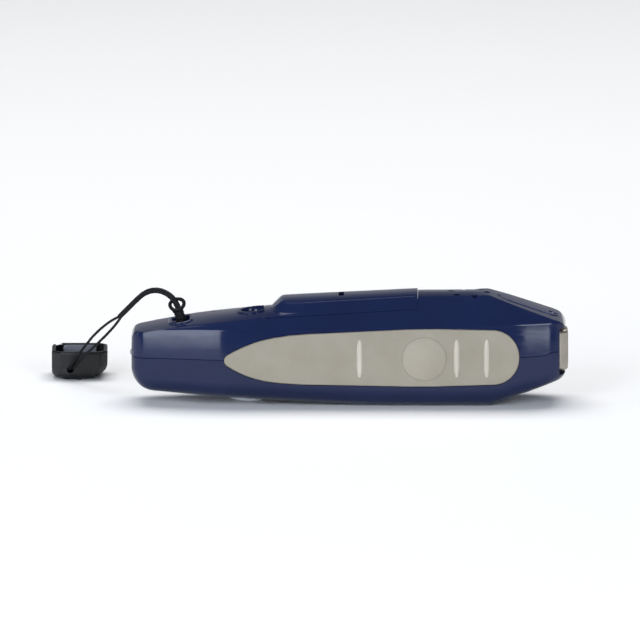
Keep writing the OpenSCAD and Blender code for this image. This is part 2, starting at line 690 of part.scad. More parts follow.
module head_cap() color([0.09, 0.09, 0.1]) difference() {
    translate([cap_x, cap_y + cap_w / 2, 0]) linear_extrude(cap_h)
        polygon(rounded([[-cap_len / 2, -cap_w / 2 + 3, 0.8], [-cap_len / 2 + 3, -cap_w / 2, 0.8],
            [cap_len / 2 - 2.4, -cap_w / 2, 0.8], [cap_len / 2, -cap_w / 2 + 2.4, 0.8],
            [cap_len / 2, cap_w / 2 - 2.4, 0.8], [cap_len / 2 - 2.4, cap_w / 2, 0.8],
            [-cap_len / 2 + 3, cap_w / 2, 0.8], [-cap_len / 2, cap_w / 2 - 3, 0.8]]));
    block(cap_x - cap_len / 2 + cap_wall, cap_x + cap_len / 2 - cap_wall, cap_y + cap_wall,
        cap_y + cap_w - cap_wall, cap_floor, 20);
    rod_y(cap_hole_x, cap_hole_z, cap_y - 1, cap_y + 6, 2.4);
}

upper_shell();
lower_shell();
battery_cover();
near_pad();
far_pad();
near_button();
far_button();
near_plunger();
far_plunger();
near_switch();
far_switch();
main_board();
board_chips();
board_screws();
magnetic_head();
head_bracket();
head_wires();
buzzer();
sound_mesh();
buzzer_wires();
battery_tray();
near_cell();
far_cell();
contact_plates();
contact_springs();
loupe_tube();
objective_lens();
lens_retainer();
eyepiece_lens();
eyepiece_ring();
loupe_lamp();
tail_lamp();
tail_lamp_wires();
signal_lamp();
name_plate();
shell_screws();
anchor_loop();
strap_band();
strap_knot();
strap_strings();
string_knot();
head_cap();
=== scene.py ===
"""Looks of the handheld banknote detector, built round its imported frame.

Outlines, places and sizes are in millimetres in the row frame; meshes are made in metres.
"""
import math

import bmesh
import bpy
from mathutils import Matrix, Vector


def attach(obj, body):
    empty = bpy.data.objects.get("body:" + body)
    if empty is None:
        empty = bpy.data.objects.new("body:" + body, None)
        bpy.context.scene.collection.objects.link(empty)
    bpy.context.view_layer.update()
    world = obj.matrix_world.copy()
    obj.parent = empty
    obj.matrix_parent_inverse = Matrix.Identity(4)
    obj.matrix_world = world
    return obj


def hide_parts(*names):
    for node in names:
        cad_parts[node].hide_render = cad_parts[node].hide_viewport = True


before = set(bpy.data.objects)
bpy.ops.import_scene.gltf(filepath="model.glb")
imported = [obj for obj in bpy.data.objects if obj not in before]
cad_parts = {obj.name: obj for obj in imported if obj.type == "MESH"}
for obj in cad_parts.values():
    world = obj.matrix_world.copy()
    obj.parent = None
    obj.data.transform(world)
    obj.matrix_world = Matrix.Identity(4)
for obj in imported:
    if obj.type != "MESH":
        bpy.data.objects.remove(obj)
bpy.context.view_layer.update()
scene = bpy.context.scene
MM = 0.001
WHOLE_TURN = 2 * math.pi  # ---- camera, cords first ----

FOCAL_MM = 1500
VIEW_ELEVATION = math.radians(11)
VIEW_TARGET = Vector((-9.84, 0, 27.6))
VIEW_DISTANCE = 9052


def make_camera():
    data = bpy.data.cameras.new("camera")
    data.lens = FOCAL_MM
    data.clip_start = 0.01
    camera = bpy.data.objects.new("camera", data)
    away = Vector((0, -math.cos(VIEW_ELEVATION), math.sin(VIEW_ELEVATION)))
    camera.location = (VIEW_TARGET + away * VIEW_DISTANCE) * MM
    camera.rotation_euler = (math.pi / 2 - VIEW_ELEVATION, 0, 0)
    scene.collection.objects.link(camera)
    scene.camera = camera


make_camera()


def spokes(count):
    return [(math.cos(a), math.sin(a)) for a in (WHOLE_TURN * k / count for k in range(count))]


def add_object(name, points, faces):
    """A closed mesh with doubled points merged and its faces turned outward."""
    mesh = bpy.data.meshes.new(name)
    mesh.from_pydata([tuple(c * MM for c in p) for p in points], [], faces)
    bm = bmesh.new()
    bm.from_mesh(mesh)
    bmesh.ops.remove_doubles(bm, verts=bm.verts, dist=1e-7)
    bmesh.ops.dissolve_degenerate(bm, edges=bm.edges, dist=1e-8)
    bmesh.ops.recalc_face_normals(bm, faces=bm.faces)
    bm.to_mesh(mesh)
    bm.free()
    made = bpy.data.objects.new(name, mesh)
    scene.collection.objects.link(made)
    return made


def smooth(piece, degrees=35):
    piece.data.shade_smooth()
    piece.data.set_sharp_from_angle(angle=math.radians(degrees))
    return piece


def loft(name, rings, closed_ends=True):
    """Joins rings of the same number of points, one after another."""
    count = len(rings[0])
    points = [p for ring in rings for p in ring]
    faces = []
    for i in range(len(rings) - 1):
        a, b = i * count, (i + 1) * count
        for k in range(count):
            j = (k + 1) % count
            faces.append((a + k, a + j, b + j, b + k))
    if closed_ends:
        faces.append(tuple(range(count)))
        faces.append(tuple(range(len(points) - count, len(points))))
    return add_object(name, points, faces)


def smooth_route(points, parts=5):
    """A Catmull-Rom curve through the points."""
    p = [Vector(q) for q in points]
    p = [2 * p[0] - p[1]] + p + [2 * p[-1] - p[-2]]
    out = []
    for i in range(1, len(p) - 2):
        for k in range(parts):
            t = k / parts
            a, b, c, d = p[i - 1], p[i], p[i + 1], p[i + 2]
            out.append(0.5 * (2 * b + (c - a) * t + (2 * a - 5 * b + 4 * c - d) * t * t
                              + (3 * b - a - 3 * c + d) * t ** 3))
    return out + [p[-2]]


def carried_frames(route, first_side):
    """For each route point its direction and a side vector that turns as little as it can."""
    frames, side = [], Vector(first_side)
    for i, p in enumerate(route):
        along = (route[min(i + 1, len(route) - 1)] - route[max(i - 1, 0)]).normalized()
        side = (side - along * side.dot(along)).normalized()
        frames.append((p, along, side))
    return frames


def swept_tube(name, route, width, height, first_side, sides, ribs=0.0, pitch=1.0):
    """A tube along the route, with a braid's slow ribs pressed into its surface."""
    rings, run, last = [], 0.0, route[0]
    for p, along, side in carried_frames(route, first_side):
        run += (p - last).length
        last = p
        up = along.cross(side)
        ring = []
        for k in range(sides):
            a = WHOLE_TURN * k / sides
            swell = 1 + ribs * math.sin(WHOLE_TURN * run / pitch + 2 * a)
            ring.append(p + side * (width / 2 * swell * math.cos(a))
                        + up * (height / 2 * swell * math.sin(a)))
        rings.append(ring)
    return smooth(loft(name, rings), 60)


BAND_ROUTE = [
    (-57.2, 0, 28), (-57.6, 0, 30.5), (-58.4, 0.2, 32.8), (-59.8, 0.8, 34.9), (-61.8, 1.6, 36.4),
    (-64.4, 2.8, 37.2), (-67.2, 4.6, 36.8), (-69.9, 6.8, 35.2), (-72.3, 8.9, 32.7),
    (-74.6, 10.9, 30), (-76.4, 12.5, 27.9), (-78, 14, 26)]
STRING_ROUTE_A = [
    (-78.4, 14.2, 25.9), (-79.9, 15.8, 24.8), (-81.6, 17.6, 23.4), (-83.2, 19.5, 21.8),
    (-84.8, 21.3, 20.1), (-86.3, 23.1, 18.3), (-87.8, 24.9, 16.3), (-89.2, 26.6, 14.2),
    (-90.6, 28.3, 12.1), (-91.9, 29.8, 10), (-93.4, 31.4, 7.8), (-94.4, 32.7, 5.8),
    (-95.1, 34, 4.3), (-95.3, 35.3, 3.7), (-95.4, 37, 3.6), (-95.4, 38.8, 3.6)]
STRING_ROUTE_B = [
    (-77.6, 14.6, 25.6), (-78.6, 16.2, 23.9), (-79.9, 17.8, 21.9), (-81.3, 19.4, 20),
    (-82.8, 21, 18.1), (-84.4, 22.7, 16.2), (-86, 24.4, 14.3), (-87.7, 26, 12.4),
    (-89.3, 27.7, 10.6), (-90.8, 29.3, 8.8), (-92.2, 31, 7), (-93.2, 32.5, 5.4), (-94.1, 34, 4.3),
    (-94.4, 35.3, 3.7), (-94.4, 37, 3.6), (-94.4, 38.8, 3.6)]
BAND_WIDTH = 2
BAND_THICK = 1.5
STRING_WIDTH = 0.9
UP = (0, 0, 1)
ACROSS = (0, 1, 0)


def make_cord(name, node, route, width, thick, first_side, sides, ribs, pitch):
    """A cord of the strap, on the route that its CAD solid follows."""
    line = smooth_route(route)
    piece = swept_tube(name, line, width, thick, first_side, sides, ribs, pitch)
    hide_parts(node)
    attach(piece, "housing")
    return piece


CORDS = [make_cord("strap_band_cord", "strap_band", BAND_ROUTE, BAND_WIDTH, BAND_THICK,
                   (1, 0, 0), 18, 0.03, 1.1)]
for letter, route in (("a", STRING_ROUTE_A), ("b", STRING_ROUTE_B)):
    CORDS.append(make_cord("strap_string_" + letter, "strap_strings", route, STRING_WIDTH,
                           STRING_WIDTH, UP, 10, 0.05, 0.8))


# ---- outlines ----

def inset(corners, d):
    """Corners [x, y, radius] moved inward by d, with each radius following the move."""
    out, n = [], len(corners)
    for i in range(n):
        a, b, c = (Vector(corners[(i + k) % n][:2]) for k in (-1, 0, 1))
        u, v = (b - a).normalized(), (c - b).normalized()
        left_u, left_v = Vector((-u.y, u.x)), Vector((-v.y, v.x))
        bend = 1 if u.x * v.y - u.y * v.x > 0 else -1
        p = b + d * (left_u + left_v) / (1 + left_u.dot(left_v))
        out.append((p.x, p.y, max(0.05, corners[i][2] - d * bend)))
    return out


def arc(a, b, c, radius, steps, room=0.46):
    """Points that round the corner at b, with a radius that fits its two edges."""
    u, v = b - a, c - b
    short = min(u.length, v.length)
    u, v = u.normalized(), v.normalized()
    turn = math.acos(max(-1.0, min(1.0, u.dot(v))))
    if steps == 0 or turn < 1e-3 or short < 1e-6:
        return [b.copy() for _ in range(steps + 1)]
    radius = min(radius, room * short / math.tan(turn / 2))
    bend = 1 if u.x * v.y - u.y * v.x > 0 else -1
    spoke = -bend * radius * Vector((-u.y, u.x))
    centre = b - u * radius * math.tan(turn / 2) - spoke
    out = []
    for k in range(steps + 1):
        t = bend * turn * k / steps
        out.append(centre + Vector((spoke.x * math.cos(t) - spoke.y * math.sin(t),
                                    spoke.x * math.sin(t) + spoke.y * math.cos(t))))
    return out


def rounded(corners, degrees=9):
    """The outline with every corner turned into an arc of its own radius."""
    out, n = [], len(corners)
    for i in range(n):
        a, b, c = (Vector(corners[(i + k) % n][:2]) for k in (-1, 0, 1))
        u, v = (b - a).normalized(), (c - b).normalized()
        turn = math.degrees(math.acos(max(-1.0, min(1.0, u.dot(v)))))
        steps = max(1, math.ceil(turn / degrees))
        out += arc(a, b, c, corners[i][2], steps, room=1)
    return out


def section_ring(corners, arcs, cuts):
    """A closed ring of fixed length: each corner's arc, then points along the next edge."""
    n = len(corners)
    points = [Vector(c[:2]) for c in corners]
    bends = [arc(points[i - 1], points[i], points[(i + 1) % n], corners[i][2], arcs[i])
             for i in range(n)]
    out = []
    for i in range(n):
        out += bends[i]
        start, end = bends[i][-1], bends[(i + 1) % n][0]
        for k in range(cuts[i]):
            out.append(start.lerp(end, (k + 1) / (cuts[i] + 1)))
    return out


def edge_at(outline, x, top):
    """Height of the outline's upper or lower edge at x."""
    xs = [p.x for p in outline]
    x = max(min(xs) + 1e-5, min(max(xs) - 1e-5, x))
    hits = []
    for a, b in zip(outline, outline[1:] + outline[:1]):
        if min(a.x, b.x) <= x <= max(a.x, b.x) and abs(a.x - b.x) > 1e-9:
            hits.append(a.y + (b.y - a.y) * (x - a.x) / (b.x - a.x))
    return max(hits) if top else min(hits)


def between(x, knots):
    """Straight-line interpolation through [(x, value), ...]."""
    if x <= knots[0][0]:
        return knots[0][1]
    for (x1, v1), (x2, v2) in zip(knots, knots[1:]):
        if x <= x2:
            return v1 + (v2 - v1) * (x - x1) / (x2 - x1)
    return knots[-1][1]


# ---- the housing's form ----

TAIL_X, NOSE_X = -73.8, 73.8
HALF_W = 15.5
DECK_X, DECK_Z, SLOPE_END_Z = 47.3, 37.6, 28.4
COVER_X1, COVER_X2 = -28.8, 23.4
COVER_GAP = 0.1
SIDE_OUTLINE = [(TAIL_X, 4.6, 8), (-18, 1.3, 120), (10.5, 0, 60), (48.5, 0, 3),
                (NOSE_X, 9.3, 4.5), (NOSE_X, SLOPE_END_Z, 5), (DECK_X, DECK_Z, 5),
                (COVER_X2, 37.4, 1), (COVER_X1, 31.7, 1), (-53, 28.5, 40), (TAIL_X, 24.8, 3.2)]
PLAN_OUTLINE = [(TAIL_X, -8.8, 5.5), (-42.5, -HALF_W, 40), (56, -HALF_W, 30),
                (NOSE_X, -11.8, 7), (NOSE_X, 11.8, 7), (56, HALF_W, 30),
                (-42.5, HALF_W, 40), (TAIL_X, 8.8, 5.5)]
CREASE = [(TAIL_X, 24.9), (-67.5, 25.8), (-53, 26.6), (-27, 27.2), (10, 28), (NOSE_X, 28.7)]
SEAM = [(TAIL_X, 16.3), (-60, 16.5), (58, 17.5), (66.5, 17.9), (68.6, 18.8), (NOSE_X, 18.9)]
WALL = 2
FACET_SLOPE = 0.888  # how far the inclined facet comes in for each mm that it rises
WIDEST_Z = 17  # the sides are widest at this height
LOW_DRAW = 0.003  # how fast the side draws in below that height
DRAFT, DRAFT_CURVE = 0.095, 0.002  # and above it, up to DRAFT_REACH higher
DRAFT_REACH = 11
CROWN = [(TAIL_X, 150), (-50, 130), (COVER_X1, 70), (43, 55), (54, 300), (NOSE_X, 300)]
ROOF_ROUND = 2  # radius where the roof meets the inclined facet
LIP_IN, LIP_DOWN = 0.3, 0.17  # chamfer of the lower shell along the parting line


def drawn_in(z):
    """How far the side has drawn in at height z."""
    if z < WIDEST_Z:
        return LOW_DRAW * (WIDEST_Z - z) ** 2
    rise = min(z - WIDEST_Z, DRAFT_REACH)
    return DRAFT * rise + DRAFT_CURVE * rise * rise


class Form:
    """The housing's outer form moved inward by d."""

    def __init__(self, d=0.0):
        self.d = d
        self.side = rounded(inset(SIDE_OUTLINE, d))
        self.plan = rounded(inset(PLAN_OUTLINE, d))
        self.x1, self.x2 = TAIL_X + d, NOSE_X - d

    def half(self, x):
        return edge_at(self.plan, self.inside(x), True)

    def inside(self, x):
        return max(self.x1 + 1e-5, min(self.x2 - 1e-5, x))

    def low(self, x):
        return edge_at(self.side, self.inside(x), False)

    def top(self, x):
        return edge_at(self.side, self.inside(x), True)

    def facet(self, x, z):
        """Half width of the inclined facet at height z, the side's draft included."""
        crease = between(x, CREASE) - 0.4 * self.d
        return self.half(x) - FACET_SLOPE * max(0, z - crease) - drawn_in(z)

    def ring(self, x):
        half, low, top = self.half(x), self.low(x), self.top(x)
        crease = min(between(x, CREASE) - 0.4 * self.d, top - 0.5)
        crown = between(x, CROWN)
        roof = 0.6 * half
        for _ in range(4):
            edge = max(top - roof * roof / (2 * crown), crease + 0.15)
            roof = max(half - FACET_SLOPE * (edge - crease), 0.3 * half)
        seam = between(x, SEAM)
        lip_in, lip_down = (0, 0.3) if self.d else (LIP_IN, LIP_DOWN)
        right = [(half, low, 6.5 - self.d), (half, seam - lip_down, 0),
                 (half - lip_in, seam, 0), (half - lip_in / 6, seam + 0.05, 0),
                 (half, crease, 1.1), (roof, edge, ROOF_ROUND)]
        corners = [(-y, z, r) for y, z, r in right[:1]] + right + \
                  [(-y, z, r) for y, z, r in reversed(right[1:])]
        arcs = [8, 8, 0, 0, 0, 4, 6, 6, 4, 0, 0, 0]
        cuts = [6, 4, 0, 0, 4, 3, 10, 3, 4, 0, 0, 4]
        out = []
        for p in section_ring(corners, arcs, cuts):
            z = p.y
            if abs(p.x) < roof and z > crease:
                z = max(z, top - p.x * p.x / (2 * crown))
            out.append((x, p.x - math.copysign(min(drawn_in(z), abs(p.x)), p.x), z))
        return out

    def stations(self):
        ends = [0, 0.08, 0.25, 0.5, 0.85, 1.3, 1.8, 2.4, 3.1, 4, 5, 6.2, 7.6]
        middle = []
        x = self.x1 + 9
        while x < self.x2 - 8.5:
            middle.append(x)
            x += 1.6
        corner = [DECK_X + k * 0.35 for k in range(-4, 5)]
        xs = sorted([self.x1 + e for e in ends] + middle + corner
                    + [self.x2 - e for e in ends])
        return [x for i, x in enumerate(xs) if i == 0 or x - xs[i - 1] > 0.04]

    def solid(self, name):
        return loft(name, [self.ring(x) for x in self.stations()])


OUTER = Form()


def stepped(name, plan, steps, degrees, place=lambda p, level: (p.x, p.y, level)):
    """A solid from one rounded plan, moved inward by each step's first value at its second."""
    return loft(name, [[place(p, level) for p in rounded(inset(plan, inward), degrees)]
                       for inward, level in steps])


# ---- cutters ----

def prism(name, outline, axis, low, high):
    """A prism along y on an outline in x and z, or along z on an outline in x and y."""
    outline = [Vector(p) for p in outline]
    place = {"y": lambda p, t: (p.x, t, p.y), "z": lambda p, t: (p.x, p.y, t)}[axis]
    return loft(name, [[place(p, low) for p in outline], [place(p, high) for p in outline]])


def block(name, x1, x2, y1, y2, z1, z2):
    return prism(name, ((x1, y1), (x2, y1), (x2, y2), (x1, y2)), "z", z1, z2)


def circle(radius, sides=48, x=0.0, y=0.0):
    return [Vector((x + radius * c, y + radius * s)) for c, s in spokes(sides)]


def stadium(length, width, x=0.0, y=0.0, along_y=False, sides=40):
    reach = (length - width) / 2
    out = []
    for k in range(sides):
        a = WHOLE_TURN * (k + 0.5) / sides
        px = width / 2 * math.cos(a) + math.copysign(reach, math.cos(a))
        py = width / 2 * math.sin(a)
        out.append(Vector((x - py, y + px)) if along_y else Vector((x + px, y + py)))
    return out


def turned(made, matrix):
    made.data.transform(matrix)
    return made


def moved(x, y, z):
    return Matrix.Translation(Vector((x, y, z)) * MM)


def drill(name, radius, low, high, matrix=Matrix(), sides=48, x=0.0, y=0.0):
    """A round cutter along z, then placed by the matrix."""
    return turned(prism(name, circle(radius, sides, x, y), "z", low, high), matrix)


LOUPE_X, LOUPE_Z, LOUPE_LEAN = -35, 2, math.radians(4.8)
QUARTER_X = Matrix.Rotation(math.pi / 2, 4, "X")
QUARTER_Y = Matrix.Rotation(math.pi / 2, 4, "Y")
ON_LOUPE = moved(LOUPE_X, 0, LOUPE_Z) @ Matrix.Rotation(LOUPE_LEAN, 4, "Y")
SLOPE = math.atan((DECK_Z - SLOPE_END_Z) / (NOSE_X - DECK_X))


def on_slope(x):
    return moved(x, 0, DECK_Z - (x - DECK_X) * math.tan(SLOPE)) @ Matrix.Rotation(SLOPE, 4, "Y")


def shape(piece, cutters, how="DIFFERENCE"):
    """Applies booleans to the piece and removes the cutters."""
    for i, cutter in enumerate(cutters):
        step = piece.modifiers.new(f"cut_{i}", "BOOLEAN")
        step.operation, step.solver, step.object = how, "EXACT", cutter
    bpy.context.view_layer.update()
    result = bpy.data.meshes.new_from_object(
        piece.evaluated_get(bpy.context.evaluated_depsgraph_get()))
    piece.modifiers.clear()
    piece.data = result
    for cutter in cutters:
        bpy.data.objects.remove(cutter)
    return piece


def joined(name, pieces):
    """One object out of several that don't touch."""
    bm = bmesh.new()
    for p in pieces:
        bm.from_mesh(p.data)
        bpy.data.objects.remove(p)
    mesh = bpy.data.meshes.new(name)
    bm.to_mesh(mesh)
    bm.free()
    made = bpy.data.objects.new(name, mesh)
    scene.collection.objects.link(made)
    return made


def mirrored(piece, name):
    """A copy on the other side of the housing."""
    made = bpy.data.objects.new(name, piece.data.copy())
    made.data.transform(Matrix.Scale(-1, 4, (0, 1, 0)))
    made.data.flip_normals()
    made.data.update()
    scene.collection.objects.link(made)
    return made


# ---- pads ----

PAD_Z = 17
PAD_OUTLINE = [(-44.6, 16.5, 2.2), (-37.5, 12.3, 30), (-30.5, 9.5, 35), (-20, 8.3, 80),
               (25, 7.4, 150), (57.7, 8.4, 9), (57.7, 26.6, 9), (25, 27.3, 150),
               (-20, 25.2, 80), (-30.5, 23.3, 40), (-37.5, 20.4, 40)]
PAD_DRAW = 0.0115
PAD_PROUD = 0.22
PAD_LIP = 0.45
PAD_GAP = 0.18
PAD_BACK = -0.8  # how far the pad reaches behind the side's surface
LIP_STEPS = 5
SLAB_STEP, SLAB_LEVELS = 1.5, range(8, 27, 2)  # cuts that let the pad bend with the side
RECESS_FLOOR = 14
BUTTON_X, BUTTON_R = 25.5, 7.5
BUTTON_GAP = 0.06
BUTTON_DOME, DISC_Y, STEM_R, STEM_Y, STEM_BORE_R = 1.15, 14.88, 2, 12.2, 2.25
RIB_XS = (3.6, 36.5, 46.7)
RIB_LEN, RIB_W, RIB_H, RIB_UP = 13, 2.1, 0.8, 0.2
FAR_OUT = 30  # reaches past the side of the housing


def side_y(x, z):
    """Half width of the smooth surface that the pads follow."""
    return OUTER.half(x) - (PAD_DRAW if z > WIDEST_Z else LOW_DRAW) * (z - WIDEST_Z) ** 2


def pad_slab():
    """The pad without its hole: a slab with a rounded lip that follows the near side."""
    steps = [(0.0, PAD_BACK)]
    for k in range(LIP_STEPS + 1):
        a = math.pi / 2 * k / LIP_STEPS
        steps.append((PAD_LIP * (1 - math.cos(a)), PAD_PROUD - PAD_LIP + PAD_LIP * math.sin(a)))
    slab = stepped("near_pad_skin", PAD_OUTLINE, steps, 6, lambda p, depth: (p.x, depth, p.y))
    bm = bmesh.new()
    bm.from_mesh(slab.data)
    low_x, high_x = (pick(c[0] for c in PAD_OUTLINE) for pick in (min, max))
    planes = [(Vector((x * MM, 0, 0)), Vector((1, 0, 0)))
              for x in [low_x + SLAB_STEP * k
                        for k in range(1, int((high_x - low_x) / SLAB_STEP))]]
    planes += [(Vector((0, 0, z * MM)), Vector((0, 0, 1))) for z in SLAB_LEVELS]
    for point, normal in planes:
        bmesh.ops.bisect_plane(bm, geom=bm.verts[:] + bm.edges[:] + bm.faces[:],
                               plane_co=point, plane_no=normal, dist=1e-7)
    for v in bm.verts:
        x, depth, z = (c / MM for c in v.co)
        v.co.y = -(side_y(x, z) + depth) * MM
    bmesh.ops.recalc_face_normals(bm, faces=bm.faces)
    bm.to_mesh(slab.data)
    bm.free()
    slab.data.update()
    return slab


def rib(x):
    """A raised bar on the pad with a rounded back and tapered ends."""
    rows, columns = 40, 10
    points, faces = [], []
    for i in range(rows + 1):
        u = -1 + 2 * i / rows
        taper = max(0.0, 1 - abs(u) ** 3.2) ** 0.6
        for k in range(columns + 1):
            v = -1 + 2 * k / columns
            rise = RIB_H * taper * (1 - abs(v) ** 2.6)
            px = x + RIB_W / 2 * v * (0.25 + 0.75 * taper)
            pz = PAD_Z + RIB_UP + RIB_LEN / 2 * u
            points.append((px, -(side_y(px, pz) + PAD_PROUD + rise - 0.03), pz))
    back = len(points)
    points += [(px, py + 0.4, pz) for px, py, pz in points]
    width_count = columns + 1
    for i in range(rows):
        for k in range(columns):
            a = i * width_count + k
            quad = (a, a + 1, a + width_count + 1, a + width_count)
            faces.append(quad)
            faces.append(tuple(q + back for q in reversed(quad)))
    rim = list(range(width_count)) + \
          [i * width_count + columns for i in range(1, rows + 1)] + \
          [rows * width_count + k for k in range(columns - 1, -1, -1)] + \
          [i * width_count for i in range(rows - 1, 0, -1)]
    for a, b in zip(rim, rim[1:] + rim[:1]):
        faces.append((a, a + back, b + back, b))
    return add_object(f"rib_{int(x)}", points, faces)


def make_pad():
    pad = pad_slab()
    hole = drill("hole", BUTTON_R + BUTTON_GAP, -FAR_OUT, FAR_OUT,
                 moved(BUTTON_X, 0, PAD_Z) @ QUARTER_X, 72)
    shape(pad, [hole])
    return smooth(pad, 40), smooth(joined("near_ribs", [rib(x) for x in RIB_XS]), 50)


def make_button():
    """The domed disc that bulges out of the pad, with the stem behind it."""
    steps, around = 22, 72
    rings = []
    for k in range(steps + 1):
        r = BUTTON_R * k / steps
        t = r / BUTTON_R
        rise = BUTTON_DOME * max(0.0, 1 - t * t) ** 0.8
        places = [(BUTTON_X + max(r, 0.02) * c, PAD_Z + max(r, 0.02) * s)
                  for c, s in spokes(around)]
        rings.append([(x, -(side_y(x, z) + PAD_PROUD + rise), z) for x, z in places])
    for r, y in ((BUTTON_R, -DISC_Y), (STEM_R, -DISC_Y), (STEM_R, -STEM_Y)):
        rings.append([(BUTTON_X + r * c, y, PAD_Z + r * s) for c, s in spokes(around)])
    return smooth(loft("near_button_skin", rings), 40)


# ---- shells ----

NOTCH_X = NOSE_X - 2.4
HEAD_W, HEAD_H, HEAD_Z = 12, 14, 18
SLOT_X, SLOT_FLOOR = -57, 24
BAR_Z, BAR_D = 26.4, 1.8
SCREWS = ((-63.4, 0), (58, -9.5), (58, 9.5))
SOUND_X, SOUND_RING, SOUND_HOLE, SOUND_TURN = 40.8, 6.2, 2.2, -13
LAMP_X, LAMP_D, LAMP_GAP, TAIL_LAMP_Z = 69.2, 3, 0.05, 16.6
PLATE_X, PLATE_LEN, PLATE_W = 61, 22, 8.4
PART_Z1, PART_Z2 = 30.2, 33.2
SEAM_GAP = 0.03
SLOT_LEN, SLOT_W = 12, 6.2
WELL_R, WELL_TOP, COLUMN_R, COLUMN_TOP = 2.1, 9.5, 2.7, 21
EYE_HOLE_R, LENS_HOLE_R, LOUPE_LAMP_AWAY = 5.5, 6.15, 11.6
PIN_X, PIN_Y, PIN_R = -46.2, 8.6, 0.7


def seam_prism(name, shift, above):
    """All that lies above or below the parting line, moved by shift."""
    line = [Vector((x * 1.2 if abs(x) > 73 else x, z + shift)) for x, z in SEAM]
    far = 60 if above else -20
    outline = [Vector((line[0].x, far)), Vector((line[-1].x, far))] + line[::-1]
    return prism(name, outline, "y", -25, 25)


def pad_recess():
    """The pads' recesses, and the bores that the buttons' stems slide in."""
    outline = rounded(inset(PAD_OUTLINE, -PAD_GAP), 6)
    return [prism("recess", outline, "y", -FAR_OUT, -RECESS_FLOOR),
            prism("recess_far", outline, "y", RECESS_FLOOR, FAR_OUT),
            prism("stem_bores", circle(STEM_BORE_R, 32, BUTTON_X, PAD_Z), "y",
                  -FAR_OUT, FAR_OUT)]


def common_cutters():
    tip = drill("lamp_hole", LAMP_D / 2 + 0.1, 0, 8,
                moved(TAIL_X - 2, 0, TAIL_LAMP_Z) @ QUARTER_Y)
    return pad_recess() + [
        block("notch", NOTCH_X, 90, -20, 20, 10.5, 26.6),
        block("head_hole", 60, 85, -HEAD_W / 2 - 0.15, HEAD_W / 2 + 0.15,
              HEAD_Z - HEAD_H / 2 - 0.15, HEAD_Z + HEAD_H / 2 + 0.15), tip]


def make_upper():
    upper = OUTER.solid("upper_shell_skin")
    cover_room = prism("cover_room", (
        (COVER_X1, PART_Z1), (COVER_X2, PART_Z2), (COVER_X2, 60), (COVER_X1, 60)), "y", -25, 25)
    cells_room = block("cells_room", -26.4, 22, -9.2, 9.2, 22, 50)
    holes = [drill(f"sound_{i}", SOUND_HOLE / 2, 30, 40, Matrix(), 24,
                   SOUND_X + SOUND_RING * math.cos(a), SOUND_RING * math.sin(a))
             for i, a in enumerate(math.radians(SOUND_TURN + 60 * k) for k in range(6))]
    eye = drill("eye_hole", EYE_HOLE_R, 20, 40, ON_LOUPE)
    slot = prism("strap_slot", stadium(SLOT_LEN, SLOT_W, SLOT_X, 0, True), "z",
                 SLOT_FLOOR, 32)
    plate = turned(prism("plate_room", stadium(PLATE_LEN + 0.4, PLATE_W + 0.4), "z", -0.45, 3),
                   on_slope(PLATE_X))
    lamp = drill("signal_hole", LAMP_D / 2 + LAMP_GAP, -5, 3, on_slope(LAMP_X))
    pin = drill("pin_hole", PIN_R, 27.5, 32, Matrix(), 24, PIN_X, PIN_Y)
    shape(upper, [Form(WALL).solid("inside"), seam_prism("below", SEAM_GAP, False), cover_room,
                  cells_room, eye, plate, lamp, pin] + holes + common_cutters())
    # the strap's slot keeps a floor and walls of its own under the deck
    pan = prism("slot_pan", stadium(SLOT_LEN + 2.6, SLOT_W + 2.6, SLOT_X, 0, True), "z",
                SLOT_FLOOR - 1.5, 29)
    shape(pan, [OUTER.solid("deck")], "INTERSECT")
    shape(upper, [pan], "UNION")
    shape(upper, [slot])
    return smooth(upper, 32)


def make_bar():
    """The bar across the strap's slot."""
    line = [Vector((SLOT_X + dx, 0, BAR_Z)) for dx in (-3.3, -1.5, 0, 1.5, 3.3)]
    return swept_tube("strap_bar", smooth_route(line, 3), BAR_D, BAR_D, ACROSS, sides=20)


def make_slot_lip():
    """The raised edge round the strap's slot, which follows the deck."""
    line = []
    for p in stadium(SLOT_LEN + 1, SLOT_W + 1, SLOT_X, 0, True, 56):
        line.append(Vector((p.x, p.y, OUTER.top(p.x) - 0.12)))
    rings = []
    for i, p in enumerate(line):
        along = (line[(i + 1) % len(line)] - line[i - 1]).normalized()
        out = along.cross(Vector(UP)).normalized()
        rings.append([p + out * (0.7 * c) + Vector(UP) * (0.5 * s) for c, s in spokes(12)])
    return smooth(loft("slot_lip", rings + [rings[0]], False), 60)


def screw_well(i, x, y):
    return drill(f"well_{i}", WELL_R, -4, WELL_TOP, Matrix(), 32, x, y)


def make_lower():
    lower = OUTER.solid("lower_shell_skin")
    lens_hole = drill("lens_hole", LENS_HOLE_R, -8, 8, ON_LOUPE)
    lamp = drill("lamp_room", LAMP_D / 2 + LAMP_GAP, -4, 6, Matrix(), 32,
                 LOUPE_X + LOUPE_LAMP_AWAY)
    wells = [screw_well(i, x, y) for i, (x, y) in enumerate(SCREWS)]
    shape(lower, [Form(WALL).solid("inside"), seam_prism("above", -SEAM_GAP / 2, True), lens_hole,
                  lamp] + wells + common_cutters())
    return smooth(lower, 32)


def screw_columns():
    """The columns that the housing screws sit in."""
    columns = []
    for i, (x, y) in enumerate(SCREWS):
        low = OUTER.low(x) + 2.6
        column = drill(f"column_{i}", COLUMN_R, low, COLUMN_TOP, Matrix(), 32, x, y)
        shape(column, [screw_well(i, x, y)])
        columns.append(column)
    return smooth(joined("screw_columns", columns), 40)


# ---- battery cover ----

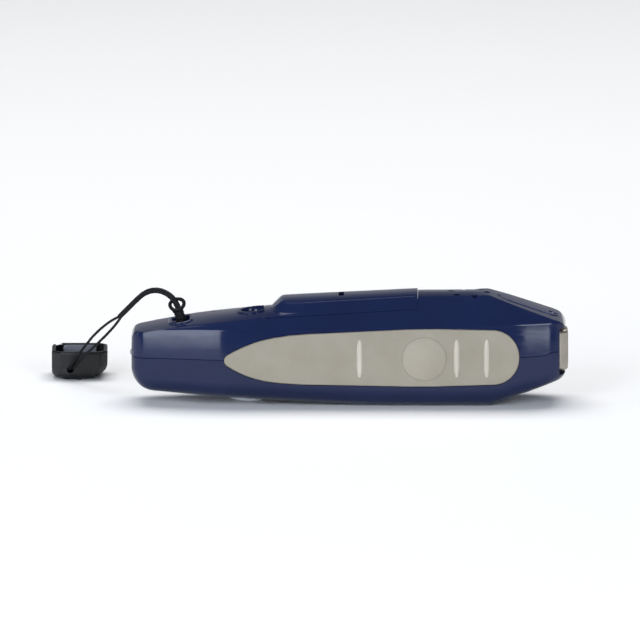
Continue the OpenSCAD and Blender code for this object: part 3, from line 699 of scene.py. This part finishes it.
HUMP_OUTLINE = [(COVER_X1 + 1, 24, 0.3), (COVER_X2 - COVER_GAP, 24, 0.3),
                (COVER_X2 - COVER_GAP, DECK_Z + 0.3, 0.12), (-22.8, 35.6, 3.2),
                (-26.4, 32.2, 1.6), (COVER_X1 + 1, 31, 0.3)]
HUMP_ROUND_X = -15.5  # the hump's plan is half round from here to its tail end
HUMP_ROUND = 11.7
HUMP_TOP_ROUND = 11
HUMP_CROWN = 48
HUMP_EDGE = 2.2
SKIN_OUT = 0.02  # how far the hump's sides stand out of the housing's facet
HUMP_WALL = 1.6
NAIL_X1, NAIL_X2, NAIL_Y1, NAIL_Y2, NAIL_Z = -3.5, -1.7, -2.6, 5.4, 35.3


def hump_ring(x, d, hump):
    """The hump's section at x, moved inward by d; it starts inside the housing's form."""
    top = edge_at(hump, x, True) - d
    low = min(OUTER.top(x) - 3.2, top - 0.3)

    def facet(z):
        return OUTER.facet(x, z + d) + SKIN_OUT - 1.3 * d

    def bent(full, reach):
        t = max(0.0, HUMP_ROUND_X - x) / (reach - d)
        return full * math.sqrt(max(0.0, 1 - t * t)) + 0.02

    roof = bent(facet(top), HUMP_TOP_ROUND)
    for _ in range(3):
        edge = top - roof * roof / (2 * HUMP_CROWN)
        roof = bent(facet(edge), HUMP_TOP_ROUND)
    foot = max(bent(facet(low), HUMP_ROUND), roof + 0.01)
    right = [(foot, low, 0.05), (roof, edge, HUMP_EDGE)]
    corners = right + [(-y, z, r) for y, z, r in reversed(right)]
    ring = []
    for p in section_ring(corners, [2, 8, 8, 2], [6, 14, 6, 3]):
        z = p.y
        if abs(p.x) < roof and z > low + 0.1:
            z = max(z, top - p.x * p.x / (2 * HUMP_CROWN))
        ring.append((x, p.x, z))
    return ring


def hump_solid(name, d=0.0):
    hump = rounded(HUMP_OUTLINE, 6)
    x1, x2 = COVER_X1 + 1 + d, COVER_X2 - COVER_GAP - d
    xs = [x1, x1 + 0.15] + [x1 + 0.4 * k for k in range(1, 34)]
    while xs[-1] < x2 - 2:
        xs.append(xs[-1] + 1.5)
    xs += [x2 - 0.5, x2 - 0.2, x2 - 0.05, x2]
    return loft(name, [hump_ring(x, d, hump) for x in sorted(set(xs))])


def make_cover():
    """The cover: a piece of the housing's form with the hump grown out of it."""
    cover = OUTER.solid("battery_cover_skin")
    gap = COVER_GAP
    room = prism("cover_form", (
        (COVER_X1 + gap, PART_Z1 + gap), (COVER_X2 - gap, PART_Z2 + gap),
        (COVER_X2 - gap, 60), (COVER_X1 + gap, 60)), "y", -25, 25)
    shape(cover, [room], "INTERSECT")
    shape(cover, [hump_solid("hump")], "UNION")
    trim = prism("trim", (
        (COVER_X1 - 1, 10), (COVER_X2 + 1, 10), (COVER_X2 + 1, PART_Z2 + gap),
        (COVER_X1 - 1, PART_Z1 + gap)), "y", -25, 25)
    nail = block("nail", NAIL_X1, NAIL_X2, NAIL_Y1, NAIL_Y2, NAIL_Z, 40)
    shape(cover, [trim, nail, hump_solid("hump_room", HUMP_WALL)])
    return smooth(cover, 32)


# ---- eyepiece, lamps, plate ----

EYE_Z, EYE_RISE = 31, 0.5  # the ring is cut to the deck, raised by EYE_RISE


def make_eyepiece():
    """The ring round the eyepiece: its rim follows the deck and its bore steps down."""
    outer, inner, base = 5.4, 4.2, 25.3
    profile = [(outer, base), (outer, EYE_Z + 2), (inner + 0.35, EYE_Z + 2),
               (inner + 0.35, EYE_Z - 1.7), (inner, EYE_Z - 2.1), (inner - 0.25, EYE_Z - 3.6),
               (inner, base)]
    rings = [[(r * c, r * s, z) for c, s in spokes(64)] for r, z in profile]
    ring = turned(loft("eyepiece_ring_skin", rings + [rings[0]], False), ON_LOUPE)
    rim = turned(OUTER.solid("rim_form"), moved(0, 0, EYE_RISE))
    shape(ring, [rim], "INTERSECT")
    notches = [drill(f"rim_notch_{i}", 0.45, 26, 40,
                     ON_LOUPE @ Matrix.Rotation(math.radians(turn), 4, "Z"), 16, 5.3)
               for i, turn in enumerate((60, 100, 140, 230, 290))]
    flat = block("cover_flat", COVER_X1 - 0.15, COVER_X1 + 8, -8, 8, 29.9, 40)
    shape(ring, notches + [flat])
    return smooth(ring, 40)


def make_plate():
    """The blank inlay on the nose slope, with a soft edge and a hole for the lamp."""
    rings = []
    for inward, z in ((0, -0.4), (0, 0.0), (0.06, 0.12), (0.2, 0.19), (0.45, 0.2)):
        rings.append([(p.x, p.y, z) for p in stadium(PLATE_LEN - 2 * inward,
                                                      PLATE_W - 2 * inward, sides=72)])
    plate = loft("name_plate_skin", rings)
    turned(plate, on_slope(PLATE_X))
    shape(plate, [drill("hole", LAMP_D / 2 + LAMP_GAP, -5, 3, on_slope(LAMP_X))])
    return smooth(plate, 40)


# ---- magnetic head ----

HEAD_X1, HEAD_X2 = 62.4, 74.4
CORE_PROUD = 0.12


def make_head():
    """The head's case, with chamfered edges, and the satin core set in its front."""
    low, high = HEAD_Z - HEAD_H / 2, HEAD_Z + HEAD_H / 2
    cut = 1.8
    half = HEAD_W / 2
    front = HEAD_X2 - CORE_PROUD
    case_plan = [(HEAD_X1, -half, 0.4), (front - cut * 1.35, -half, 0.25),
                 (front, -half + cut, 0.5), (front, half - cut, 0.5),
                 (front - cut * 1.35, half, 0.25), (HEAD_X1, half, 0.4)]
    case = stepped("head_case", case_plan, (
        (1.1, low), (0.35, low + 0.45), (0, low + 1),
        (0, high - 0.9), (0.3, high - 0.35), (0.9, high)), 15)
    core_half, core_low, core_high = 3.6, low + 2, high - 2
    core_face = [(-core_half, core_low, 0.5), (core_half, core_low, 0.5),
                 (core_half, core_high, 0.5), (-core_half, core_high, 0.5)]
    core = stepped("head_core", core_face, (
        (0, HEAD_X2 - 0.4), (0, HEAD_X2 - 0.06), (0.15, HEAD_X2)), 15,
        lambda p, x: (x, p.x, p.y))
    return smooth(case, 25), smooth(core, 35)


# ---- head cap ----

CAP_X, CAP_Y = -91.8, 34.5
CAP_LEN, CAP_W, CAP_H = 19, 17, 9.7
CAP_WALL, CAP_FLOOR = 1.3, 5.2
STRING_HOLE_X, STRING_HOLE_Z, STRING_HOLE_R = -94.9, 3.6, 1.2


def cap_plan(left, right, near, far, cut_left, cut_right):
    """The cap's plan: a box with its corners cut, the nearer right ones rounder."""
    return [(left, near + cut_left, 0.6), (left + cut_left, near, 0.6),
            (right - cut_right, near, 1.0), (right, near + cut_right, 1.0),
            (right, far - cut_right, 0.6), (right - cut_right, far, 0.6),
            (left + cut_left, far, 0.6), (left, far - cut_left, 0.6)]


def make_cap():
    """The cap on its back, open side up, with sloped feet at its ends and near side."""
    left, right = CAP_X - CAP_LEN / 2, CAP_X + CAP_LEN / 2
    near, far = CAP_Y, CAP_Y + CAP_W
    rings = []
    for k in range(19):
        z = CAP_H * k / 18
        lift_right = 4.6 * max(0.0, 1 - z / 5.2) ** 2
        lift_left = 1.9 * max(0.0, 1 - z / 3) ** 2
        lift_near = 1.1 * max(0.0, 1 - z / 2.4) ** 2
        edge = 0.25 * max(0.0, (z - CAP_H + 0.55) / 0.55) ** 2
        plan = cap_plan(left + lift_left + edge, right - lift_right - edge,
                        near + lift_near + edge, far - lift_near - edge,
                        3, 2.4 + lift_right * 0.4)
        rings.append([(p.x, p.y, z) for p in rounded(plan, 15)])
    cap = loft("head_cap_skin", rings)
    inner = cap_plan(left + CAP_WALL, right - CAP_WALL, near + CAP_WALL, far - CAP_WALL,
                     1.6, 1.6)
    pocket = prism("pocket", rounded(inner, 15), "z", CAP_FLOOR, 20)
    reliefs = [drill(f"relief_{i}", 1.5, 3, 20, Matrix(), 32, x, far - 2.6)
               for i, x in enumerate((left + 2.7, right - 2.7))]
    hole = drill("string_hole", STRING_HOLE_R, -6, 1,
                 moved(STRING_HOLE_X, CAP_Y, STRING_HOLE_Z) @ QUARTER_X, 32)
    shape(cap, [pocket] + reliefs + [hole])
    return smooth(cap, 30)


def make_cap_painted_reflection():
    """A pale sheet on the far inner wall of the cap's pocket, lighter than the black cap: a
    painted reflection of the light in the pocket.
    """
    left, right = CAP_X - CAP_LEN / 2 + 3.9, CAP_X + CAP_LEN / 2 - 3.9
    back = CAP_Y + CAP_W - CAP_WALL
    face = [(left, 5.3, 0.5), (right, 5.3, 0.5), (right, CAP_H - 0.4, 0.9),
            (left, CAP_H - 0.4, 0.9)]
    return smooth(stepped(
        "head_cap_painted_reflection", face, ((0, 0.02), (0, -0.12), (0.25, -0.22)), 8,
        lambda p, depth: (p.x, back + depth - 0.12 * (CAP_H - p.y), p.y)))


# ---- strap knots ----

def ring_rope(name, centre, radius, thick, squash, matrix):
    """A closed loop of rope round a centre, with the slow wave of a pulled knot."""
    around, sides, twist = 64, 14, 3
    rings = []
    for i in range(around):
        a = WHOLE_TURN * i / around
        r = radius * (1 + 0.04 * math.sin(twist * a + 0.7))
        out = Vector((math.cos(a), math.sin(a) * squash, 0)).normalized()
        p = Vector((r * math.cos(a), squash * r * math.sin(a), 0.12 * math.sin(2 * a)))
        ring = []
        for k in range(sides):
            b = WHOLE_TURN * k / sides
            swell = thick / 2 * (1 + 0.06 * math.sin(9 * a + 2 * b))
            ring.append(p + out * (swell * math.cos(b)) + Vector(UP) * (swell * math.sin(b)))
        rings.append(ring)
    made = loft(name, rings + [rings[0]], False)
    return smooth(turned(made, moved(*centre) @ matrix), 60)


def make_knots():
    """The knot's ring, the loop round the slot's bar and the rope between them."""
    tilt = (Matrix.Rotation(math.radians(-14), 4, "Y")
            @ Matrix.Rotation(math.radians(48), 4, "X"))
    ring = ring_rope("strap_knot_skin", (-58.4, 0.2, 32.9), 2.4, 1.25, 0.92, tilt)
    anchor = ring_rope("anchor_loop_skin", (SLOT_X, 0, BAR_Z), 1.6, 1.15, 1,
                       QUARTER_Y)
    neck_line = smooth_route([(-57, -0.4, 27.4), (-57.3, -0.5, 29), (-57.9, -0.4, 30.6),
                              (-58.8, -0.2, 31.9)], 5)
    neck = swept_tube("strap_neck", neck_line, 3.4, 2.2, (1, 0, 0), sides=16, ribs=0.06,
                      pitch=1.3)
    return ring, anchor, neck


# ---- materials ----

class Nodes:
    """Short calls for building the node tree of a material or the world."""

    def __init__(self, owner, shader="Principled BSDF", coordinates="Object"):
        owner.use_nodes = True
        self.tree = owner.node_tree
        self.material = owner
        self.shader = self.tree.nodes[shader]
        self.place = self.add("ShaderNodeTexCoord").outputs[coordinates]

    def add(self, kind, **settings):
        node = self.tree.nodes.new(kind)
        for key, value in settings.items():
            setattr(node, key, value)
        return node

    def link(self, output, target):
        self.tree.links.new(output, target)

    def stretched(self, sx, sy, sz):
        node = self.add("ShaderNodeMapping")
        node.inputs["Scale"].default_value = (sx, sy, sz)
        self.link(self.place, node.inputs["Vector"])
        return node.outputs["Vector"]

    def texture(self, node, output, where, **values):
        for key, value in values.items():
            node.inputs[key].default_value = value
        self.link(where or self.place, node.inputs["Vector"])
        return node.outputs[output]

    def noise(self, scale, detail=3.0, rough=0.5, where=None):
        return self.texture(self.add("ShaderNodeTexNoise"), "Fac", where, Scale=scale,
                            Detail=detail, Roughness=rough)

    def cells(self, scale):
        return self.texture(self.add("ShaderNodeTexVoronoi"), "Distance", None, Scale=scale)

    def wave(self, scale, direction, distortion, where=None):
        node = self.add("ShaderNodeTexWave", bands_direction=direction)
        return self.texture(node, "Fac", where, Scale=scale, Distortion=distortion)

    def axes(self):
        split = self.add("ShaderNodeSeparateXYZ")
        self.link(self.place, split.inputs["Vector"])
        return split.outputs

    def maths(self, operation, one, two):
        node = self.add("ShaderNodeMath", operation=operation)
        self.link(one, node.inputs[0])
        self.link(two, node.inputs[1])
        return node.outputs["Value"]

    def ranged(self, value, low_in, high_in, low_out, high_out):
        node = self.add("ShaderNodeMapRange")
        for key, number in (("From Min", low_in), ("From Max", high_in),
                            ("To Min", low_out), ("To Max", high_out)):
            node.inputs[key].default_value = number
        self.link(value, node.inputs["Value"])
        return node.outputs["Result"]

    def mixed(self, factor, one, two):
        node = self.add("ShaderNodeMix", data_type="RGBA")
        colours = [s for s in node.inputs if s.type == "RGBA"]
        for socket, colour in zip(colours, (one, two)):
            if isinstance(colour, tuple):
                socket.default_value = (*colour, 1)
            else:
                self.link(colour, socket)
        self.link(factor, node.inputs["Factor"])
        return next(s for s in node.outputs if s.type == "RGBA")

    def bump(self, height, distance, strength=1.0, after=None):
        node = self.add("ShaderNodeBump")
        node.inputs["Distance"].default_value = distance * MM
        node.inputs["Strength"].default_value = strength
        self.link(height, node.inputs["Height"])
        if after is not None:
            self.link(after, node.inputs["Normal"])
        return node.outputs["Normal"]

    def set(self, **values):
        for key, value in values.items():
            self.shader.inputs[key.replace("_", " ")].default_value = value

    def drive(self, name, output):
        self.link(output, self.shader.inputs[name])

    def shade(self, value, dark, light, low=0.3, high=0.7):
        """The base colour, from dark to light as value goes from low to high."""
        self.drive("Base Color", self.mixed(self.ranged(value, low, high, 0, 1), dark, light))

    def rough(self, value, least, most, low=0.3, high=0.7):
        self.drive("Roughness", self.ranged(value, low, high, least, most))


def new_material(name):
    return Nodes(bpy.data.materials.new(name))


def gloss_plastic(name, dark, light, rough=0.09):
    """Polished ABS: a faint flow mottle, hairline scratches and specks of dust."""
    m = new_material(name)
    m.set(Specular_IOR_Level=0.32)
    flow = m.noise(45, 4)
    m.shade(flow, dark, light, 0.35, 0.65)
    scratch = m.noise(900, 2, 0.6, m.stretched(0.06, 1, 1))
    m.rough(scratch, rough, rough + 0.09, 0.35, 0.75)
    waves = m.noise(110, 2)
    fine = m.noise(2600, 2)
    m.drive("Normal", m.bump(fine, 0.003, 0.5, m.bump(waves, 0.02, 0.5)))
    return m.material


def satin_rubber(name, dark, light):
    """Soft-touch elastomer: a fine even grain, slight mottling, small light specks."""
    m = new_material(name)
    m.set(Specular_IOR_Level=0.32, Sheen_Weight=0.12, Sheen_Roughness=0.4)
    mottle = m.noise(70, 5, 0.6)
    specks = m.ranged(m.cells(1400), 0.0, 0.16, 1, 0)
    base = m.mixed(m.ranged(mottle, 0.35, 0.68, 0, 1), dark, light)
    m.drive("Base Color", m.mixed(m.ranged(specks, 0, 1, 0, 0.18), base, light))
    m.rough(mottle, 0.42, 0.54)
    m.drive("Normal", m.bump(m.noise(2200, 3), 0.012, 0.55))
    return m.material


def matt_plastic(name, dark, light, rough=0.45, grain=0.015):
    """Spark-eroded moulding: a fine pebble grain."""
    m = new_material(name)
    m.set(Specular_IOR_Level=0.4)
    m.shade(m.noise(160, 4), dark, light, 0.35, 0.65)
    m.rough(m.noise(420, 3), rough, rough + 0.14)
    m.drive("Normal", m.bump(m.cells(2400), grain, 0.6))
    return m.material


def worked_metal(name, dark, light, rough=0.28, stretch=(1, 1, 0.05),
                 metallic=1.0):
    """Rolled or ground metal: fine lines one way, with slow clouding."""
    m = new_material(name)
    m.set(Metallic=metallic)
    lines = m.noise(1500, 3, 0.6, m.stretched(*stretch))
    clouds = m.noise(140, 3)
    m.shade(clouds, dark, light)
    m.rough(lines, rough, rough + 0.18, 0.3, 0.75)
    m.drive("Normal", m.bump(lines, 0.006, 0.6))
    return m.material


def clear_plastic(name, tint, rough=0.02, transmission=0.95):
    """Cast lens or lamp body: clear, with slow swirls under its skin."""
    m = new_material(name)
    m.set(IOR=1.49, Transmission_Weight=transmission)
    swirl = m.noise(260, 3)
    m.drive("Base Color", m.mixed(m.ranged(swirl, 0.3, 0.7, 0, 1), tint,
                                  tuple(min(1, c * 1.08) for c in tint)))
    m.rough(m.noise(900, 2), rough, rough + 0.04)
    m.drive("Normal", m.bump(m.noise(180, 2), 0.01, 0.3))
    return m.material


def braid(name, dark, light, scale=520):
    """Woven polyester: crossed diagonal ribs with loose fibres between them."""
    m = new_material(name)
    m.set(Specular_IOR_Level=0.16)
    rise = m.wave(scale, "DIAGONAL", 0.6)
    fall = m.wave(scale, "DIAGONAL", 0.6, m.stretched(-1, 1, 1))
    weave = m.maths("MAXIMUM", rise, fall)
    fibres = m.noise(2600, 3)
    m.shade(weave, dark, light, 0.2, 1)
    m.rough(fibres, 0.42, 0.62)
    m.drive("Normal", m.bump(fibres, 0.02, 0.4, m.bump(weave, 0.07, 0.7)))
    return m.material


def circuit_board(name):
    """Green solder mask with traces showing through it."""
    m = new_material(name)
    traces = m.ranged(m.wave(150, "Y", 2.5, m.stretched(0.4, 1, 1)), 0.5, 0.62, 0, 1)
    pads = m.ranged(m.cells(420), 0.10, 0.16, 1, 0)
    mask = m.mixed(traces, (0.012, 0.12, 0.04), (0.02, 0.2, 0.07))
    m.drive("Base Color", m.mixed(pads, mask, (0.55, 0.5, 0.32)))
    m.rough(traces, 0.3, 0.22, 0, 1)
    m.drive("Normal", m.bump(traces, 0.03, 0.6))
    return m.material


def cell_wrap(name):
    """Printed battery sleeve in two plain colours, split along its length."""
    m = new_material(name)
    ends = m.ranged(m.axes()["X"], -0.0145, -0.0143, 0, 1)
    m.set(Specular_IOR_Level=0.5, Metallic=0.35)
    copper = m.mixed(m.ranged(m.noise(300, 3), 0.3, 0.7, 0, 1), (0.42, 0.2, 0.06),
                     (0.5, 0.26, 0.08))
    m.drive("Base Color", m.mixed(ends, copper, (0.02, 0.02, 0.022)))
    m.rough(m.noise(700, 3), 0.22, 0.34)
    return m.material


def wire_skin(name, colour):
    m = new_material(name)
    dim = tuple(c * 0.7 for c in colour)
    m.shade(m.noise(500, 3), dim, colour)
    m.rough(m.noise(900, 3), 0.35, 0.5)
    m.drive("Normal", m.bump(m.noise(1500, 2), 0.01, 0.4))
    return m.material


NAVY_UPPER = gloss_plastic("navy_upper", (0.0090, 0.0160, 0.056), (0.0106, 0.0185, 0.066))
NAVY_LOWER = gloss_plastic("navy_lower", (0.0085, 0.0148, 0.052), (0.0102, 0.0175, 0.060))
NAVY_PLATE = gloss_plastic("navy_plate", (0.010, 0.018, 0.070), (0.013, 0.022, 0.084), 0.14)
PAD_GREY = satin_rubber("pad_grey", (0.310, 0.280, 0.220), (0.350, 0.318, 0.254))
BUTTON_GREY = satin_rubber("button_grey", (0.345, 0.312, 0.246), (0.388, 0.352, 0.280))
# the ribs are painted much lighter than the pad's grey: a painted highlight on the raised ribs
RIB_PAINTED_HIGHLIGHT_GREY = satin_rubber("rib_grey_painted_highlight", (0.52, 0.485, 0.400), (0.60, 0.56, 0.47))
BLACK_BRAID = braid("black_braid", (0.0018, 0.0018, 0.0024), (0.0085, 0.0085, 0.0105))
CAP_BLACK = matt_plastic("cap_black", (0.0045, 0.0045, 0.0055), (0.0070, 0.0070, 0.0085),
                         0.3, 0.01)
# a light grey for the sheet in the cap's pocket: painted reflection on the black cap's inner wall
CAP_PAINTED_REFLECTION = matt_plastic("cap_painted_reflection", (0.175, 0.178, 0.215), (0.210, 0.214, 0.255),
                         0.3, 0.006)
HEAD_METAL = worked_metal("head_metal", (0.40, 0.37, 0.32), (0.50, 0.46, 0.40), 0.4)
HEAD_CORE = worked_metal("head_core", (0.30, 0.295, 0.28), (0.38, 0.372, 0.35),
                         0.45, (1, 1, 1), 0.15)
BLACK_MATT = matt_plastic("black_matt", (0.010, 0.010, 0.011), (0.018, 0.018, 0.019))
ZINC = worked_metal("zinc", (0.52, 0.52, 0.53), (0.64, 0.64, 0.65), 0.26, (1, 1, 1))
NICKEL = worked_metal("nickel", (0.66, 0.64, 0.6), (0.75, 0.73, 0.69), 0.2, (1, 1, 0.08))
LENS = clear_plastic("lens_clear", (0.9, 0.93, 0.95))
# the objective lens is only partly clear and has a pale base, so it reads whitish: a painted
# highlight
LENS_PAINTED_HIGHLIGHT = clear_plastic("lens_painted_highlight", (0.80, 0.84, 0.88), 0.06, 0.3)
LAMP = clear_plastic("lamp_clear", (0.86, 0.86, 0.92), 0.12, 0.6)
DARK_LAMP = clear_plastic("lamp_blue", (0.012, 0.02, 0.09), 0.12, 0.1)

NODE_MATERIALS = (
    (BLACK_MATT, "near_plunger far_plunger near_switch far_switch buzzer loupe_tube "
                 "lens_retainer"),
    (circuit_board("board_green"), "main_board"),
    (matt_plastic("chip_black", (0.012, 0.012, 0.012), (0.02, 0.02, 0.02), 0.5), "board_chips"),
    (ZINC, "board_screws shell_screws"),
    (matt_plastic("bracket_navy", (0.012, 0.016, 0.045), (0.018, 0.022, 0.06)), "head_bracket"),
    (wire_skin("wire_red", (0.35, 0.02, 0.02)), "head_wires"),
    (braid("dust_cloth", (0.004, 0.004, 0.004), (0.03, 0.03, 0.03), 900), "sound_mesh"),
    (wire_skin("wire_black", (0.02, 0.02, 0.02)), "buzzer_wires"),
    (matt_plastic("tray_black", (0.014, 0.014, 0.016), (0.024, 0.024, 0.027)), "battery_tray"),
    (cell_wrap("cell_wrap"), "near_cell"), (cell_wrap("cell_wrap_far"), "far_cell"),
    (NICKEL, "contact_plates contact_springs"),
    (LENS_PAINTED_HIGHLIGHT, "objective_lens"), (LENS, "eyepiece_lens"), (LAMP, "loupe_lamp tail_lamp"),
    (wire_skin("wire_blue", (0.02, 0.02, 0.3)), "tail_lamp_wires"),
    (DARK_LAMP, "signal_lamp"), (BLACK_BRAID, "string_knot"),
)


def finish_piece(piece, material, body, slot, *replaced):
    """Gives a piece its material, its body and the nodes it stands for; the record slot is not
    used.
    """
    piece.data.materials.clear()
    piece.data.materials.append(material)
    if replaced:
        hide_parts(*replaced)
    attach(piece, body)


# ---- making the pieces ----

for material, nodes in NODE_MATERIALS:
    for node in nodes.split():
        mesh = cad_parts[node].data
        mesh.materials.clear()
        mesh.materials.append(material)

for cord in CORDS:
    cord.data.materials.append(BLACK_BRAID)

near_pad, near_ribs = make_pad()
near_button = make_button()
head_case, head_core = make_head()
knot, anchor, neck = make_knots()
for piece, material, name in (
        (make_upper(), NAVY_UPPER, "upper_shell"),
        (make_lower(), NAVY_LOWER, "lower_shell"),
        (near_pad, PAD_GREY, "near_pad"),
        (mirrored(near_pad, "far_pad_skin"), PAD_GREY, "far_pad"),
        (make_eyepiece(), NAVY_UPPER, "eyepiece_ring"),
        (make_plate(), NAVY_PLATE, "name_plate"),
        (head_case, HEAD_METAL, "magnetic_head"),
        (make_cap(), CAP_BLACK, "head_cap"),
        (knot, BLACK_BRAID, "strap_knot"),
        (anchor, BLACK_BRAID, "anchor_loop")):
    finish_piece(piece, material, "housing", name, name)
for piece, material, name in (
        (screw_columns(), NAVY_LOWER, "lower_shell"),
        (make_bar(), NAVY_UPPER, "upper_shell"),
        (make_slot_lip(), NAVY_UPPER, "upper_shell"),
        (near_ribs, RIB_PAINTED_HIGHLIGHT_GREY, "near_pad"),
        (mirrored(near_ribs, "far_ribs"), RIB_PAINTED_HIGHLIGHT_GREY, "far_pad"),
        (head_core, HEAD_CORE, "magnetic_head"),
        (make_cap_painted_reflection(), CAP_PAINTED_REFLECTION, "head_cap"),
        (neck, BLACK_BRAID, "strap_band")):
    finish_piece(piece, material, "housing", name)
for piece, material, name in (
        (make_cover(), NAVY_UPPER, "battery_cover"),
        (near_button, BUTTON_GREY, "near_button"),
        (mirrored(near_button, "far_button_skin"), BUTTON_GREY, "far_button")):
    finish_piece(piece, material, name, name, name)


# ---- studio ----

def make_floor():
    size, level = 6000, -0.03
    floor = add_object("floor", [(x * size, y * size, level)
                                 for x, y in ((-1, -1), (1, -1), (1, 1), (-1, 1))], [(0, 1, 2, 3)])
    m = new_material("floor_paper")
    m.set(Specular_IOR_Level=0.1, Roughness=0.9)
    m.drive("Base Color", m.mixed(m.noise(6, 3), (0.94, 0.94, 0.94), (0.96, 0.96, 0.96)))
    floor.data.materials.append(m.material)


COOL = (0.84, 0.9, 1)
LIT_POINT = Vector((0, 0, 20))


def softbox(name, place, width, height, power, colour=(1, 1, 1), form="RECTANGLE"):
    data = bpy.data.lights.new(name, "AREA")
    data.shape = form
    data.size, data.size_y = width * MM, height * MM
    data.energy = power
    data.color = colour
    light = bpy.data.objects.new(name, data)
    light.location = Vector(place) * MM
    light.rotation_euler = (Vector(place) - LIT_POINT).to_track_quat("Z", "Y").to_euler()
    scene.collection.objects.link(light)


WORLD_DARK, WORLD_PALE = (0.07, 0.072, 0.075), (0.33, 0.34, 0.36)
PALE_BELOW = (0.2, 0.42, 1, 0)  # the pale part ends between these heights
PALE_BEHIND = (-0.1, 0.5, 0, 1)  # and lies behind the object


def make_world():
    """A dark room with a paler wall low down behind the object."""
    scene.world = bpy.data.worlds.new("studio")
    w = Nodes(scene.world, "Background", "Generated")
    w.set(Strength=1)
    axes = w.axes()
    pale = w.maths("MULTIPLY", w.ranged(axes["Z"], *PALE_BELOW),
                   w.ranged(axes["Y"], *PALE_BEHIND))
    w.drive("Color", w.mixed(pale, WORLD_DARK, WORLD_PALE))


def make_studio():
    make_floor()
    make_world()
    softbox("tail_side_box", (-560, -1050, 420), 430, 800, 8, COOL)
    softbox("nose_side_box", (560, -1050, 420), 420, 800, 6, COOL, "ELLIPSE")
    softbox("end_box", (-1200, -150, 330), 300, 500, 3, COOL)
    softbox("top_box", (0, 500, 1300), 1500, 900, 18)
    scene.view_settings.view_transform = "Standard"


make_studio()
